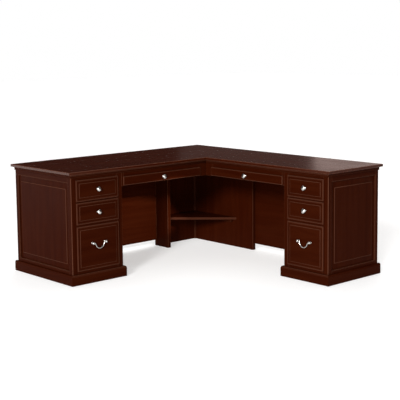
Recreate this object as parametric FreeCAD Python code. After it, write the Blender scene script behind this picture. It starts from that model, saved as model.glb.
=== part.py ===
import FreeCAD, Part
import math
import os

# Corner desk: a full-depth desk and a shallower return that meet at a right angle. Each wing has a
# pedestal of two box drawers over a file drawer at its free end and a shallow drawer over its kneehole.
# The back corner is open below the top and holds a triangular shelf.
#
# Millimetres. +Z is up and the floor is at Z = 0. The desk lies along Y on the -X side, and the return
# lies along X on the +Y side. The origin is at the bottom centre of the overall box.
#
# A wing is drawn in its own frame: x runs from the free end of its top towards the corner, y runs from
# the front edge of its top towards the back, and z is up. The corner is drawn from the outer back corner
# of the tops: x runs along the return, and y runs forward along the desk.

# Overall sizes
DESK_LENGTH = 1760.0
DESK_DEPTH = 710.0
RETURN_LENGTH = 1170.0
RETURN_DEPTH = 560.0
HEIGHT = 762.0
DESK_PEDESTAL_WIDTH = 420.0
RETURN_PEDESTAL_WIDTH = 390.0

# Tops and the moulding under them
TOP_BOARD = 18.0
MOULDING_HEIGHT = 23.0
OVERHANG = 30.0
BACK_OVERHANG = 12.0
TOP_EDGE_ROUND = 3.0
MOULDING_OUT = 25.0
MOULDING_BEAD = 7.0
MOULDING_BEAD_OUT = 9.0
MOULDING_IN = 40.0
BATTEN_WIDTH = 40.0

# Boards
FRAME_BOARD = 20.0
SIDE_BOARD = 18.0
LINER_BOARD = 12.0
BACK_BOARD = 12.0
GABLE_BOARD = 28.0
PANEL_BOARD = 14.0

# Floor glides and the plinth moulding
GLIDE_HEIGHT = 4.0
GLIDE_DIAMETER = 16.0
GLIDE_INSET = 30.0
PLINTH_TOP = 75.0
PLINTH_OUT = 18.0
PLINTH_ROUND = 9.0
PLINTH_STEP = 4.0

# End frame and its raised panel
END_FRONT_STILE = 17.0
END_BACK_STILE = 26.0
END_TOP_RAIL = 31.0
PANEL_BAND_SIDE = 36.0
PANEL_BAND_TOP = 50.0
PANEL_EDGE = 7.0

# Face frame and drawer fronts
STILE_REVEAL = 36.0
TOP_REVEAL = 17.0
UPPER_RAIL_REVEAL = 9.0
LOWER_RAIL_REVEAL = 14.0
BOTTOM_REVEAL = 18.0
UPPER_FRONT_HEIGHT = 144.0
MIDDLE_FRONT_HEIGHT = 145.0
FRONT_LIP = 8.0
FRONT_PROUD = 10.0
FRONT_TONGUE = 9.0
FRONT_ROUND = 5.0
FIELD_RING_OUT = 9.0
FIELD_RING_IN = 26.0
FIELD_RING_DEPTH = 2.5
CORNER_ROUND = 4.0

# Kneehole drawers and the apron around them
APRON_TOP_RAIL = 29.0
KNEEHOLE_FRONT_HEIGHT = 62.0
APRON_DROP = 4.0
PEDESTAL_GAP = 10.0
CORNER_STILE = 62.0
KNEEHOLE_BOX_LENGTH = 380.0
HANGER_BOARD = 18.0

# Drawer boxes and slides
BOX_BOARD = 12.0
BOX_BOTTOM = 6.0
BOX_BOTTOM_RISE = 8.0
BOX_ABOVE_OPENING = 12.0
BOX_BELOW_OPENING = 20.0
BOX_BACK_SPACE = 40.0
SLIDE_SPACE = 12.7
CABINET_RUNNER = 6.0
CABINET_RUNNER_HEIGHT = 35.0
DRAWER_RUNNER_HEIGHT = 24.0
SPACER_HEIGHT = 45.0

# Knobs and bail pulls
KNOB_DIAMETER = 32.0
KNOB_PROJECTION = 26.0
KNOB_BASE_RADIUS = 9.0
KNOB_BASE_THICKNESS = 2.5
KNOB_NECK_RADIUS = 5.5
KNOB_NECK_END = 9.0
KNOB_RIM_ROUND = 3.0
KNOB_DOME_HEIGHT = 5.0
POST_SPACING = 104.0
POST_OUT = 13.0
POST_BALL_RADIUS = 9.5
POST_STEM_RADIUS = 5.0
POST_BORE_PAST = 3.0
ROSETTE_RADIUS = 7.5
ROSETTE_THICKNESS = 1.5
BAIL_RADIUS = 3.2
BAIL_ELBOW = 4.0
BAIL_ARM_SLOPE = 64.0
BAIL_DROP = 38.5
BAIL_RISE = 28.5

# Kneehole backs, gables and the corner shelf
MODESTY_SETBACK = 30.0
MODESTY_BOTTOM = 50.0
BACK_GABLE_WIDTH = 142.0
BACK_GABLE_PLACE = 459.0
SHELF_TOP = 236.0
SHELF_BOARD = 18.0
SHELF_NEAR_REACH = 97.0
CLEAT = 20.0
CORNER_BEAD = 12.0
PLATE_LENGTH = 120.0
PLATE_WIDTH = 40.0
PLATE_THICKNESS = 3.0
PLATE_SCREW_RADIUS = 4.0
PLATE_SCREW_HEAD = 2.0
PLATE_SCREW_NEAR = 18.0
PLATE_SCREW_FAR = 48.0
BACK_PLATE_PLACE = 168.0
FRONT_PLATE_PLACE = 364.0

# Clearances
MOVING_GAP = 0.4
TONGUE_GAP = 1.5
RUNNER_GAP = 0.5
BAIL_BORE_GAP = 0.4

# Levels that everything shares
BOARD_UNDERSIDE = HEIGHT - TOP_BOARD
CARCASE_TOP = BOARD_UNDERSIDE - MOULDING_HEIGHT
FILE_FRONT_BOTTOM = PLINTH_TOP + BOTTOM_REVEAL
UPPER_FRONT_TOP = CARCASE_TOP - TOP_REVEAL
UPPER_FRONT_BOTTOM = UPPER_FRONT_TOP - UPPER_FRONT_HEIGHT
MIDDLE_FRONT_TOP = UPPER_FRONT_BOTTOM - UPPER_RAIL_REVEAL
MIDDLE_FRONT_BOTTOM = MIDDLE_FRONT_TOP - MIDDLE_FRONT_HEIGHT
FILE_FRONT_TOP = MIDDLE_FRONT_BOTTOM - LOWER_RAIL_REVEAL
KNEEHOLE_FRONT_TOP = CARCASE_TOP - APRON_TOP_RAIL
KNEEHOLE_FRONT_BOTTOM = KNEEHOLE_FRONT_TOP - KNEEHOLE_FRONT_HEIGHT
APRON_BOTTOM = KNEEHOLE_FRONT_BOTTOM - APRON_DROP

# Depths that everything shares, from the front edge of a top
FACE = OVERHANG
FRAME_BACK = FACE + FRAME_BOARD
FRONT_FACE = FACE - FRONT_PROUD
BOX_FRONT = FACE + FRONT_TONGUE

# The outer back corner of the tops
CORNER_X = -(DESK_DEPTH + RETURN_LENGTH) / 2
CORNER_Y = DESK_LENGTH / 2

V = FreeCAD.Vector
ORIGIN = V(0, 0, 0)
UP = V(0, 0, 1)

os.makedirs("parts", exist_ok=True)


class Wing:
    """One wing of the desk: its name, its top, its pedestal, and how its frame sits in the whole."""

    def __init__(self, name, top_length, depth, run, pedestal_width, corner_block, batten_end, modesty_end):
        self.name = name
        self.top_length = top_length
        self.depth = depth
        self.run = run
        self.left = OVERHANG
        self.right = OVERHANG + pedestal_width
        self.inner_corner = run + OVERHANG
        self.corner_block = corner_block
        self.batten_end = batten_end
        self.modesty_end = modesty_end
        self.carcase_back = depth - BACK_OVERHANG
        self.front_left = self.left + STILE_REVEAL
        self.front_right = self.right - STILE_REVEAL
        self.knee_left = self.right + PEDESTAL_GAP
        self.knee_right = self.inner_corner - CORNER_STILE

    def place(self, shape):
        """Move a shape from the wing's frame to the whole desk's."""
        placed = shape.copy()
        if self.name == "desk":
            placed.rotate(ORIGIN, UP, 90)
            placed.translate(V(CORNER_X + DESK_DEPTH, CORNER_Y - DESK_LENGTH, 0))
            return placed
        placed = placed.mirror(ORIGIN, V(1, 0, 0))
        placed.translate(V(CORNER_X + DESK_DEPTH + RETURN_LENGTH, CORNER_Y - RETURN_DEPTH, 0))
        return placed


def place_corner(shape):
    """Move a shape from the corner's frame to the whole desk's."""
    placed = shape.mirror(ORIGIN, V(0, 1, 0))
    placed.translate(V(CORNER_X, CORNER_Y, 0))
    return placed


def save(node, shapes, place):
    """Write one node, made of one solid or of several that stay separate."""
    placed = [place(shape) for shape in shapes]
    whole = placed[0] if len(placed) == 1 else Part.makeCompound(placed)
    whole.exportStep("parts/" + node + ".step")


def box(x0, x1, y0, y1, z0, z1):
    """A board from its low and high limits."""
    return Part.makeBox(x1 - x0, y1 - y0, z1 - z0, V(x0, y0, z0))


def plan_prism(points, z0, z1):
    """A prism over a closed outline of plan points."""
    corners = [V(x, y, z0) for x, y in points]
    face = Part.Face(Part.makePolygon(corners + corners[:1]))
    return face.extrude(V(0, 0, z1 - z0))


def rounded(shape, radius, chosen):
    """Round the edges of a shape that the test picks by their end points."""
    edges = [edge for edge in shape.Edges if chosen([vertex.Point for vertex in edge.Vertexes])]
    return shape.makeFillet(radius, edges)


def level(value, target):
    """Whether two lengths are the same to a hundredth."""
    return abs(value - target) < 0.01


def arc(start, through, end):
    """An arc edge through three points."""
    return Part.Arc(start, through, end).toShape()


def line(start, end):
    """A straight edge."""
    return Part.makeLine(start, end)


def mitred_runs(path, section, inner, outer, low, high):
    """Lengths of moulding along a path, mitred where two runs meet.

    section is a face drawn with x outwards from the path and z up. A path point is x, y and whether the
    run that starts there is left out, as where only the mitre with that run is wanted.
    """
    runs = []
    points = [V(x, y, 0) for x, y, _ in path]
    for i in range(len(points) - 1):
        if path[i][2]:
            continue
        along = (points[i + 1] - points[i]).normalize()
        out = V(along.y, -along.x, 0)
        spare = max(abs(inner), abs(outer)) + 1
        length = (points[i + 1] - points[i]).Length + 2 * spare
        bar = section.copy()
        bar.rotate(ORIGIN, UP, math.degrees(math.atan2(out.y, out.x)))
        bar.translate(points[i] - along * spare)
        bar = bar.extrude(along * length)
        start_turn = turn(points, i, out)
        end_turn = turn(points, i + 1, out)
        outline = [
            points[i] + start_turn * inner,
            points[i] + start_turn * outer,
            points[i + 1] + end_turn * outer,
            points[i + 1] + end_turn * inner,
        ]
        runs.append(bar.common(plan_prism([(p.x, p.y) for p in outline], low, high)).Solids[0])
    return runs


def turn(points, i, out):
    """How far a point of the path moves for each unit that the runs beside it move outwards."""
    if i in (0, len(points) - 1):
        return out
    before = (points[i] - points[i - 1]).normalize()
    after = (points[i + 1] - points[i]).normalize()
    return V(before.y, -before.x, 0) + V(after.y, -after.x, 0)


def top_board(wing):
    """The top board, its free end and its exposed front edge rounded above and below."""
    z0 = BOARD_UNDERSIDE
    exposed = box(0, wing.run, 0, wing.depth, z0, HEIGHT)

    def outer_edge(ends):
        flat = all(level(p.z, z0) for p in ends) or all(level(p.z, HEIGHT) for p in ends)
        return flat and (all(level(p.y, 0) for p in ends) or all(level(p.x, 0) for p in ends))

    board = rounded(exposed, TOP_EDGE_ROUND, outer_edge)
    if wing.top_length > wing.run:
        board = board.fuse(box(wing.run, wing.top_length, 0, wing.depth, z0, HEIGHT)).removeSplitter()
    return board.Solids[0]


def cove_section():
    """The moulding under the top: a cove over a small bead, with a flat inner part that carries the top."""
    bead_top = CARCASE_TOP + MOULDING_BEAD
    bead_middle = CARCASE_TOP + MOULDING_BEAD / 2
    bead_side = MOULDING_BEAD_OUT - MOULDING_BEAD / 2
    reach = MOULDING_OUT - MOULDING_BEAD_OUT
    rise = BOARD_UNDERSIDE - bead_top
    bend = math.sqrt(0.5)
    hollow = V(MOULDING_OUT - reach * bend, 0, bead_top + rise * bend)
    edges = [
        line(V(-MOULDING_IN, 0, CARCASE_TOP), V(0, 0, CARCASE_TOP)),
        line(V(0, 0, CARCASE_TOP), V(bead_side, 0, CARCASE_TOP)),
        arc(V(bead_side, 0, CARCASE_TOP), V(MOULDING_BEAD_OUT, 0, bead_middle), V(bead_side, 0, bead_top)),
        arc(V(bead_side, 0, bead_top), hollow, V(MOULDING_OUT, 0, BOARD_UNDERSIDE)),
        line(V(MOULDING_OUT, 0, BOARD_UNDERSIDE), V(-MOULDING_IN, 0, BOARD_UNDERSIDE)),
        line(V(-MOULDING_IN, 0, BOARD_UNDERSIDE), V(-MOULDING_IN, 0, CARCASE_TOP)),
    ]
    return Part.Face(Part.Wire(edges))


def top_moulding(wing):
    """Mitred moulding on the free end and the front, and the battens that carry the rest of the top."""
    path = [
        (wing.left, wing.carcase_back, False),
        (wing.left, wing.left, False),
        (wing.inner_corner, wing.left, True),
        (wing.inner_corner, 0, True),
    ]
    pieces = mitred_runs(path, cove_section(), -MOULDING_IN, MOULDING_OUT, 0, HEIGHT)
    behind = FACE + MOULDING_IN
    back = wing.carcase_back - BATTEN_WIDTH
    z0, z1 = CARCASE_TOP, BOARD_UNDERSIDE
    pieces.append(box(wing.left + MOULDING_IN, wing.batten_end, back, wing.carcase_back, z0, z1))
    pieces.append(box(wing.right - BATTEN_WIDTH, wing.right, behind, back, z0, z1))
    return pieces


def gable_battens():
    """Battens over the two gables of the corner."""
    z0, z1 = CARCASE_TOP, BOARD_UNDERSIDE
    behind = BACK_OVERHANG + BATTEN_WIDTH
    panel_front = MODESTY_SETBACK + SIDE_BOARD
    gable_near = BACK_GABLE_PLACE + GABLE_BOARD
    corner_gable_near = panel_front + GABLE_BOARD
    return [
        box(behind, panel_front + BACK_GABLE_WIDTH, BACK_GABLE_PLACE, gable_near, z0, z1),
        box(behind, DESK_DEPTH, panel_front, corner_gable_near, z0, z1),
    ]


def end_frame(wing):
    """The stiles and rails of the pedestal's outer end."""
    x0, x1 = wing.left, wing.left + FRAME_BOARD
    y0, y1 = FRAME_BACK, wing.carcase_back
    inner0, inner1 = y0 + END_FRONT_STILE, y1 - END_BACK_STILE
    return [
        box(x0, x1, y0, inner0, GLIDE_HEIGHT, CARCASE_TOP),
        box(x0, x1, inner1, y1, GLIDE_HEIGHT, CARCASE_TOP),
        box(x0, x1, inner0, inner1, CARCASE_TOP - END_TOP_RAIL, CARCASE_TOP),
        box(x0, x1, inner0, inner1, GLIDE_HEIGHT, FILE_FRONT_BOTTOM),
    ]


def end_panel(wing):
    """The raised panel of the outer end: a thin edge in the frame, a sloping band and a flat field."""
    back = wing.left + FRAME_BOARD
    face = back - PANEL_BOARD
    edge = back - PANEL_EDGE
    y0, y1 = FRAME_BACK + END_FRONT_STILE, wing.carcase_back - END_BACK_STILE
    z0, z1 = FILE_FRONT_BOTTOM, CARCASE_TOP - END_TOP_RAIL
    panel = box(edge, back, y0, y1, z0, z1)
    rise = raised_band(edge, face, y0, y1, z0, z1)
    return [panel.fuse(rise).removeSplitter().Solids[0]]


def raised_band(low, high, y0, y1, z0, z1):
    """The part of a raised panel above its thin edge."""
    outer = [V(low, y0, z0), V(low, y1, z0), V(low, y1, z1), V(low, y0, z1)]
    a0, a1 = y0 + PANEL_BAND_SIDE, y1 - PANEL_BAND_SIDE
    b0, b1 = z0 + PANEL_BAND_TOP, z1 - PANEL_BAND_TOP
    inner = [V(high, a0, b0), V(high, a1, b0), V(high, a1, b1), V(high, a0, b1)]
    wires = [Part.makePolygon(ring + ring[:1]) for ring in (outer, inner)]
    return Part.makeLoft(wires, True, True)


def carcase(wing):
    """Liner, inner side, bottom, back, and the strips that bring the slides in line with the openings."""
    z0, z1 = GLIDE_HEIGHT, CARCASE_TOP
    liner_x = wing.left + FRAME_BOARD
    side_x = wing.right - SIDE_BOARD
    inner_back = wing.carcase_back - BACK_BOARD
    opening0, opening1 = drawer_opening(wing)
    floor = FILE_FRONT_BOTTOM
    boards = [
        box(liner_x, liner_x + LINER_BOARD, FRAME_BACK, inner_back, z0, z1),
        box(side_x, wing.right, FRAME_BACK, wing.carcase_back, z0, z1),
        box(liner_x + LINER_BOARD, side_x, FRAME_BACK, inner_back, floor - SIDE_BOARD, floor),
        box(liner_x, side_x, inner_back, wing.carcase_back, z0, z1),
    ]
    for drawer in pedestal_drawers(wing):
        low = drawer.slide_level - SPACER_HEIGHT / 2
        high = drawer.slide_level + SPACER_HEIGHT / 2
        boards.append(box(liner_x + LINER_BOARD, opening0, FRAME_BACK, inner_back, low, high))
        boards.append(box(opening1, side_x, FRAME_BACK, inner_back, low, high))
    return boards


def drawer_opening(wing):
    """The clear width of the face frame: what the drawer fronts cover, less their lips."""
    return wing.front_left + FRONT_LIP, wing.front_right - FRONT_LIP


def face_frame(wing):
    """Two stiles and four rails, the outer stile rounded at the corner of the pedestal."""
    opening0, opening1 = drawer_opening(wing)
    z0, z1 = GLIDE_HEIGHT, CARCASE_TOP
    outer = box(wing.left, opening0, FACE, FRAME_BACK, z0, z1)

    def corner(ends):
        return all(level(p.x, wing.left) and level(p.y, FACE) for p in ends)

    boards = [rounded(outer, CORNER_ROUND, corner), box(opening1, wing.right, FACE, FRAME_BACK, z0, z1)]
    rails = [
        (z0, FILE_FRONT_BOTTOM + FRONT_LIP),
        (FILE_FRONT_TOP - FRONT_LIP, MIDDLE_FRONT_BOTTOM + FRONT_LIP),
        (MIDDLE_FRONT_TOP - FRONT_LIP, UPPER_FRONT_BOTTOM + FRONT_LIP),
        (UPPER_FRONT_TOP - FRONT_LIP, z1),
    ]
    for low, high in rails:
        boards.append(box(opening0, opening1, FACE, FRAME_BACK, low, high))
    return boards


def plinth_section():
    """The plinth moulding: a flat face with a rounded and stepped top."""
    shoulder = PLINTH_TOP - PLINTH_ROUND
    start = V(PLINTH_OUT, 0, shoulder)
    crown = V(PLINTH_OUT - PLINTH_ROUND, 0, PLINTH_TOP)
    bend = PLINTH_ROUND * math.sqrt(0.5)
    edges = [
        line(V(0, 0, GLIDE_HEIGHT), V(PLINTH_OUT, 0, GLIDE_HEIGHT)),
        line(V(PLINTH_OUT, 0, GLIDE_HEIGHT), start),
        arc(start, V(PLINTH_OUT - PLINTH_ROUND + bend, 0, shoulder + bend), crown),
        line(crown, V(0, 0, PLINTH_TOP)),
        line(V(0, 0, PLINTH_TOP), V(0, 0, GLIDE_HEIGHT)),
    ]
    return Part.Face(Part.Wire(edges))


def plinth(wing):
    """Plinth boards around the foot of a pedestal, mitred in front and flush with the top behind."""
    path = [
        (wing.left, wing.depth, False),
        (wing.left, FACE, False),
        (wing.right, FACE, False),
        (wing.right, wing.depth, False),
    ]
    boards = mitred_runs(path, plinth_section(), 0, PLINTH_OUT, 0, HEIGHT)
    back_top = PLINTH_TOP - PLINTH_STEP
    boards.append(box(wing.left, wing.right, wing.carcase_back, wing.depth, GLIDE_HEIGHT, back_top))
    return boards


class Drawer:
    """One drawer: the limits of its front, of the opening behind it, and of its box."""

    def __init__(self, name, front, opening, box_end, handle):
        self.name = name
        self.x0, self.x1, self.z0, self.z1 = front
        self.open_x0, self.open_x1, self.open_z0, self.open_z1 = opening
        self.box_x0 = self.open_x0 + SLIDE_SPACE
        self.box_x1 = self.open_x1 - SLIDE_SPACE
        self.box_end = box_end
        self.handle = handle
        self.middle_x = (self.x0 + self.x1) / 2
        self.middle_z = (self.z0 + self.z1) / 2
        self.box_z0 = self.open_z0 + BOX_ABOVE_OPENING
        self.box_z1 = self.open_z1 - BOX_BELOW_OPENING
        self.slide_level = self.box_z0 + CABINET_RUNNER_HEIGHT


def pedestal_drawers(wing):
    """The upper, middle and file drawers of a pedestal."""
    opening0, opening1 = drawer_opening(wing)
    box_end = wing.carcase_back - BACK_BOARD - BOX_BACK_SPACE
    levels = [
        ("upper_drawer", UPPER_FRONT_BOTTOM, UPPER_FRONT_TOP, "knob"),
        ("middle_drawer", MIDDLE_FRONT_BOTTOM, MIDDLE_FRONT_TOP, "knob"),
        ("file_drawer", FILE_FRONT_BOTTOM, FILE_FRONT_TOP, "bail"),
    ]
    drawers = []
    for name, low, high, handle in levels:
        front = (wing.front_left, wing.front_right, low, high)
        opening = (opening0, opening1, low + FRONT_LIP, high - FRONT_LIP)
        drawers.append(Drawer(wing.name + "_" + name, front, opening, box_end, handle))
    return drawers


def kneehole_drawer(wing):
    """The shallow drawer over a kneehole, with nothing below its front."""
    front = (wing.knee_left, wing.knee_right, KNEEHOLE_FRONT_BOTTOM, KNEEHOLE_FRONT_TOP)
    opening = (
        wing.knee_left + FRONT_LIP,
        wing.knee_right - FRONT_LIP,
        KNEEHOLE_FRONT_BOTTOM + TONGUE_GAP,
        KNEEHOLE_FRONT_TOP - FRONT_LIP,
    )
    drawer = Drawer(wing.name + "_kneehole_drawer", front, opening, BOX_FRONT + KNEEHOLE_BOX_LENGTH, "knob")
    drawer.box_z0 = KNEEHOLE_FRONT_BOTTOM + FRONT_LIP
    drawer.box_z1 = KNEEHOLE_FRONT_TOP - BOX_ABOVE_OPENING
    drawer.slide_level = (drawer.box_z0 + drawer.box_z1) / 2
    return drawer


def drawer_front(drawer, fielded):
    """A lipped front: a rounded slab over the frame, a tongue in the opening, and a sunk ring on its face."""
    lip_back = FACE - MOVING_GAP
    slab = box(drawer.x0, drawer.x1, FRONT_FACE, lip_back, drawer.z0, drawer.z1)

    def face_edge(ends):
        return all(level(p.y, FRONT_FACE) for p in ends)

    front = rounded(slab, FRONT_ROUND, face_edge)
    if fielded:
        front = front.cut(field_ring(drawer))
    tongue = box(
        drawer.open_x0 + TONGUE_GAP, drawer.open_x1 - TONGUE_GAP, lip_back, BOX_FRONT,
        drawer.open_z0 + TONGUE_GAP, drawer.open_z1 - TONGUE_GAP)
    return [front.fuse(tongue).removeSplitter().Solids[0]]


def field_ring(drawer):
    """The shallow ring cut into a drawer front around its raised field."""
    depth = FRONT_FACE + FIELD_RING_DEPTH
    solids = []
    for inset in (FIELD_RING_OUT, FIELD_RING_IN):
        solids.append(box(
            drawer.x0 + inset, drawer.x1 - inset, FRONT_FACE, depth, drawer.z0 + inset, drawer.z1 - inset))
    return solids[0].cut(solids[1])


def drawer_box(drawer):
    """Two sides, a front and a back board, and a thin bottom between them."""
    x0, x1, z0, z1 = drawer.box_x0, drawer.box_x1, drawer.box_z0, drawer.box_z1
    y0, y1 = BOX_FRONT, drawer.box_end
    in0, in1 = x0 + BOX_BOARD, x1 - BOX_BOARD
    floor = z0 + BOX_BOTTOM_RISE
    return [
        box(x0, in0, y0, y1, z0, z1),
        box(in1, x1, y0, y1, z0, z1),
        box(in0, in1, y0, y0 + BOX_BOARD, z0, z1),
        box(in0, in1, y1 - BOX_BOARD, y1, z0, z1),
        box(in0, in1, y0 + BOX_BOARD, y1 - BOX_BOARD, floor, floor + BOX_BOTTOM),
    ]


def runner_pair(drawer, moving):
    """The slide members of one drawer: those on its box if moving, those on the cabinet if not."""
    height = DRAWER_RUNNER_HEIGHT if moving else CABINET_RUNNER_HEIGHT
    near = CABINET_RUNNER + RUNNER_GAP if moving else 0
    far = SLIDE_SPACE if moving else CABINET_RUNNER
    y0, y1 = FRAME_BACK + RUNNER_GAP, drawer.box_end
    z0, z1 = drawer.slide_level - height / 2, drawer.slide_level + height / 2
    return [
        box(drawer.open_x0 + near, drawer.open_x0 + far, y0, y1, z0, z1),
        box(drawer.open_x1 - far, drawer.open_x1 - near, y0, y1, z0, z1),
    ]


def knob(drawer):
    """A turned mushroom knob: a base, a neck, a flare, a round rim and a shallow dome."""
    rim = KNOB_DIAMETER / 2
    rim_back = V(rim - KNOB_RIM_ROUND, KNOB_PROJECTION - KNOB_DOME_HEIGHT - 2 * KNOB_RIM_ROUND, 0)
    rim_front = V(rim - KNOB_RIM_ROUND, KNOB_PROJECTION - KNOB_DOME_HEIGHT, 0)
    rim_middle = V(rim, (rim_back.y + rim_front.y) / 2, 0)
    dome = (rim_front.x ** 2 + KNOB_DOME_HEIGHT ** 2) / (2 * KNOB_DOME_HEIGHT)
    half_angle = math.asin(rim_front.x / dome) / 2
    dome_middle = V(dome * math.sin(half_angle), KNOB_PROJECTION - dome * (1 - math.cos(half_angle)), 0)
    top = V(0, KNOB_PROJECTION, 0)
    base = [V(KNOB_BASE_RADIUS, 0, 0), V(KNOB_BASE_RADIUS, KNOB_BASE_THICKNESS, 0)]
    neck = [V(KNOB_NECK_RADIUS, KNOB_BASE_THICKNESS, 0), V(KNOB_NECK_RADIUS, KNOB_NECK_END, 0)]
    corners = [V(0, 0, 0)] + base + neck + [rim_back]
    edges = [line(start, end) for start, end in zip(corners, corners[1:])]
    edges.append(arc(rim_back, rim_middle, rim_front))
    edges.append(arc(rim_front, dome_middle, top))
    edges.append(line(top, corners[0]))
    return [spun(edges, drawer.middle_x, drawer.middle_z)]


def spun(edges, x, z):
    """Spin an outline drawn with x as radius and y outwards, and stand it on a drawer front."""
    turned = Part.Face(Part.Wire(edges)).revolve(ORIGIN, V(0, 1, 0), 360)
    turned = turned.mirror(ORIGIN, V(0, 1, 0))
    turned.translate(V(x, FRONT_FACE, z))
    return turned


def bail_axis(drawer):
    """The height of a bail's pivot, above the middle of the front so that the whole pull looks centred."""
    return drawer.middle_z + BAIL_RISE


def bail_posts(drawer):
    """Two turned posts with a rosette, a stem and a ball, each bored from its inner side for the bail."""
    neck_end = POST_OUT - math.sqrt(POST_BALL_RADIUS ** 2 - POST_STEM_RADIUS ** 2)
    corners = [
        V(0, 0, 0),
        V(ROSETTE_RADIUS, 0, 0),
        V(ROSETTE_RADIUS, ROSETTE_THICKNESS, 0),
        V(POST_STEM_RADIUS, ROSETTE_THICKNESS, 0),
        V(POST_STEM_RADIUS, neck_end, 0),
    ]
    tip = V(0, POST_OUT + POST_BALL_RADIUS, 0)
    edges = [line(start, end) for start, end in zip(corners, corners[1:])]
    edges.append(arc(corners[-1], V(POST_BALL_RADIUS, POST_OUT, 0), tip))
    edges.append(line(tip, corners[0]))
    pivot_z = bail_axis(drawer)
    posts = []
    for side in (-1, 1):
        x = drawer.middle_x + side * POST_SPACING / 2
        mouth = V(x - side * POST_BALL_RADIUS, FRONT_FACE - POST_OUT, pivot_z)
        depth = POST_BALL_RADIUS + POST_BORE_PAST
        bore = Part.makeCylinder(BAIL_RADIUS + BAIL_BORE_GAP, depth, mouth, V(side, 0, 0))
        posts.append(spun(edges, x, pivot_z).cut(bore).Solids[0])
    return posts


def bail(drawer):
    """The swinging handle: a round bar with two pins in line, a sloping arm from each, and a round sweep."""
    y = FRONT_FACE - POST_OUT
    z = bail_axis(drawer)
    x = drawer.middle_x
    tip = POST_SPACING / 2 + POST_BORE_PAST - MOVING_GAP
    pin_end = POST_SPACING / 2 - POST_BALL_RADIUS - MOVING_GAP
    slope = math.radians(BAIL_ARM_SLOPE)
    sine, cosine = math.sin(slope), math.cos(slope)
    sweep = (pin_end * sine - BAIL_DROP * cosine) / (1 - cosine) - BAIL_ELBOW

    def on(across, down):
        return V(x + across, y, z - down)

    bend_x, bend_down = BAIL_ELBOW * math.sin(slope / 2), BAIL_ELBOW * (1 - math.cos(slope / 2))
    arm_x, arm_down = pin_end - BAIL_ELBOW * sine, BAIL_ELBOW * (1 - cosine)
    sweep_x, sweep_down = sweep * sine, BAIL_DROP - sweep * (1 - cosine)
    edges = [
        line(on(-tip, 0), on(-pin_end, 0)),
        arc(on(-pin_end, 0), on(bend_x - pin_end, bend_down), on(-arm_x, arm_down)),
        line(on(-arm_x, arm_down), on(-sweep_x, sweep_down)),
        arc(on(-sweep_x, sweep_down), on(0, BAIL_DROP), on(sweep_x, sweep_down)),
        line(on(sweep_x, sweep_down), on(arm_x, arm_down)),
        arc(on(arm_x, arm_down), on(pin_end - bend_x, bend_down), on(pin_end, 0)),
        line(on(pin_end, 0), on(tip, 0)),
    ]
    section = Part.Wire(Part.makeCircle(BAIL_RADIUS, V(x - tip, y, z), V(1, 0, 0)))
    return [Part.Wire(edges).makePipeShell([section], True, True)]


def apron(wing):
    """The frame of a kneehole drawer: end stiles, a rail over it, and the boards its slides hang on."""
    opening0 = wing.knee_left + FRONT_LIP
    opening1 = wing.knee_right - FRONT_LIP
    corner = wing.inner_corner + wing.corner_block
    rail_bottom = KNEEHOLE_FRONT_TOP - FRONT_LIP
    slide_end = BOX_FRONT + KNEEHOLE_BOX_LENGTH
    return [
        box(wing.right, opening0, FACE, FRAME_BACK, APRON_BOTTOM, CARCASE_TOP),
        box(opening1, corner, FACE, FRAME_BACK, APRON_BOTTOM, CARCASE_TOP),
        box(opening0, opening1, FACE, FRAME_BACK, rail_bottom, CARCASE_TOP),
        box(wing.right, opening0, FRAME_BACK, slide_end, KNEEHOLE_FRONT_BOTTOM, rail_bottom),
        box(opening1, opening1 + HANGER_BOARD, FRAME_BACK, slide_end, KNEEHOLE_FRONT_BOTTOM, CARCASE_TOP),
    ]


def modesty_panel(wing, end):
    """The board that closes the back of a kneehole, held off the floor and notched over the plinth."""
    y1 = wing.depth - MODESTY_SETBACK
    y0 = y1 - SIDE_BOARD
    board = box(wing.right, end, y0, y1, MODESTY_BOTTOM, CARCASE_TOP)
    notch = box(wing.right, wing.right + PLINTH_OUT, y0, y1, 0, max(PLINTH_TOP, MODESTY_BOTTOM))
    return [board.cut(notch).Solids[0]]


def corner_parts():
    """The boards of the open corner, drawn from the outer back corner of the tops."""
    back0 = MODESTY_SETBACK
    back1 = MODESTY_SETBACK + SIDE_BOARD
    gable_far = BACK_GABLE_PLACE
    gable_near = BACK_GABLE_PLACE + GABLE_BOARD
    end_near = back1 + GABLE_BOARD
    z0, z1 = GLIDE_HEIGHT, CARCASE_TOP
    save("back_gable", [box(back1, back1 + BACK_GABLE_WIDTH, gable_far, gable_near, z0, z1)], place_corner)
    save("corner_gable", [box(back1, DESK_DEPTH, back1, end_near, z0, z1)], place_corner)
    save("corner_back_panel", [box(back0, back1, back1, gable_near, z0, z1)], place_corner)
    save("corner_shelf", corner_shelf(back1, end_near, gable_far), place_corner)
    save("shelf_cleats", shelf_cleats(back1, end_near, gable_far), place_corner)
    save("corner_bead", corner_bead(back1, end_near), place_corner)
    save("joining_plates", joining_plates(), place_corner)


def corner_shelf(x0, y0, y1):
    """The triangular shelf, square beside the gable, at 45 degrees in front, notched for the corner bead."""
    near = x0 + SHELF_NEAR_REACH
    past_x, past_y = x0 + CORNER_BEAD, y0 + CORNER_BEAD
    points = [(past_x, y0), (near + y1 - y0, y0), (near, y1), (x0, y1), (x0, past_y), (past_x, past_y)]
    return [plan_prism(points, SHELF_TOP - SHELF_BOARD, SHELF_TOP)]


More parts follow.
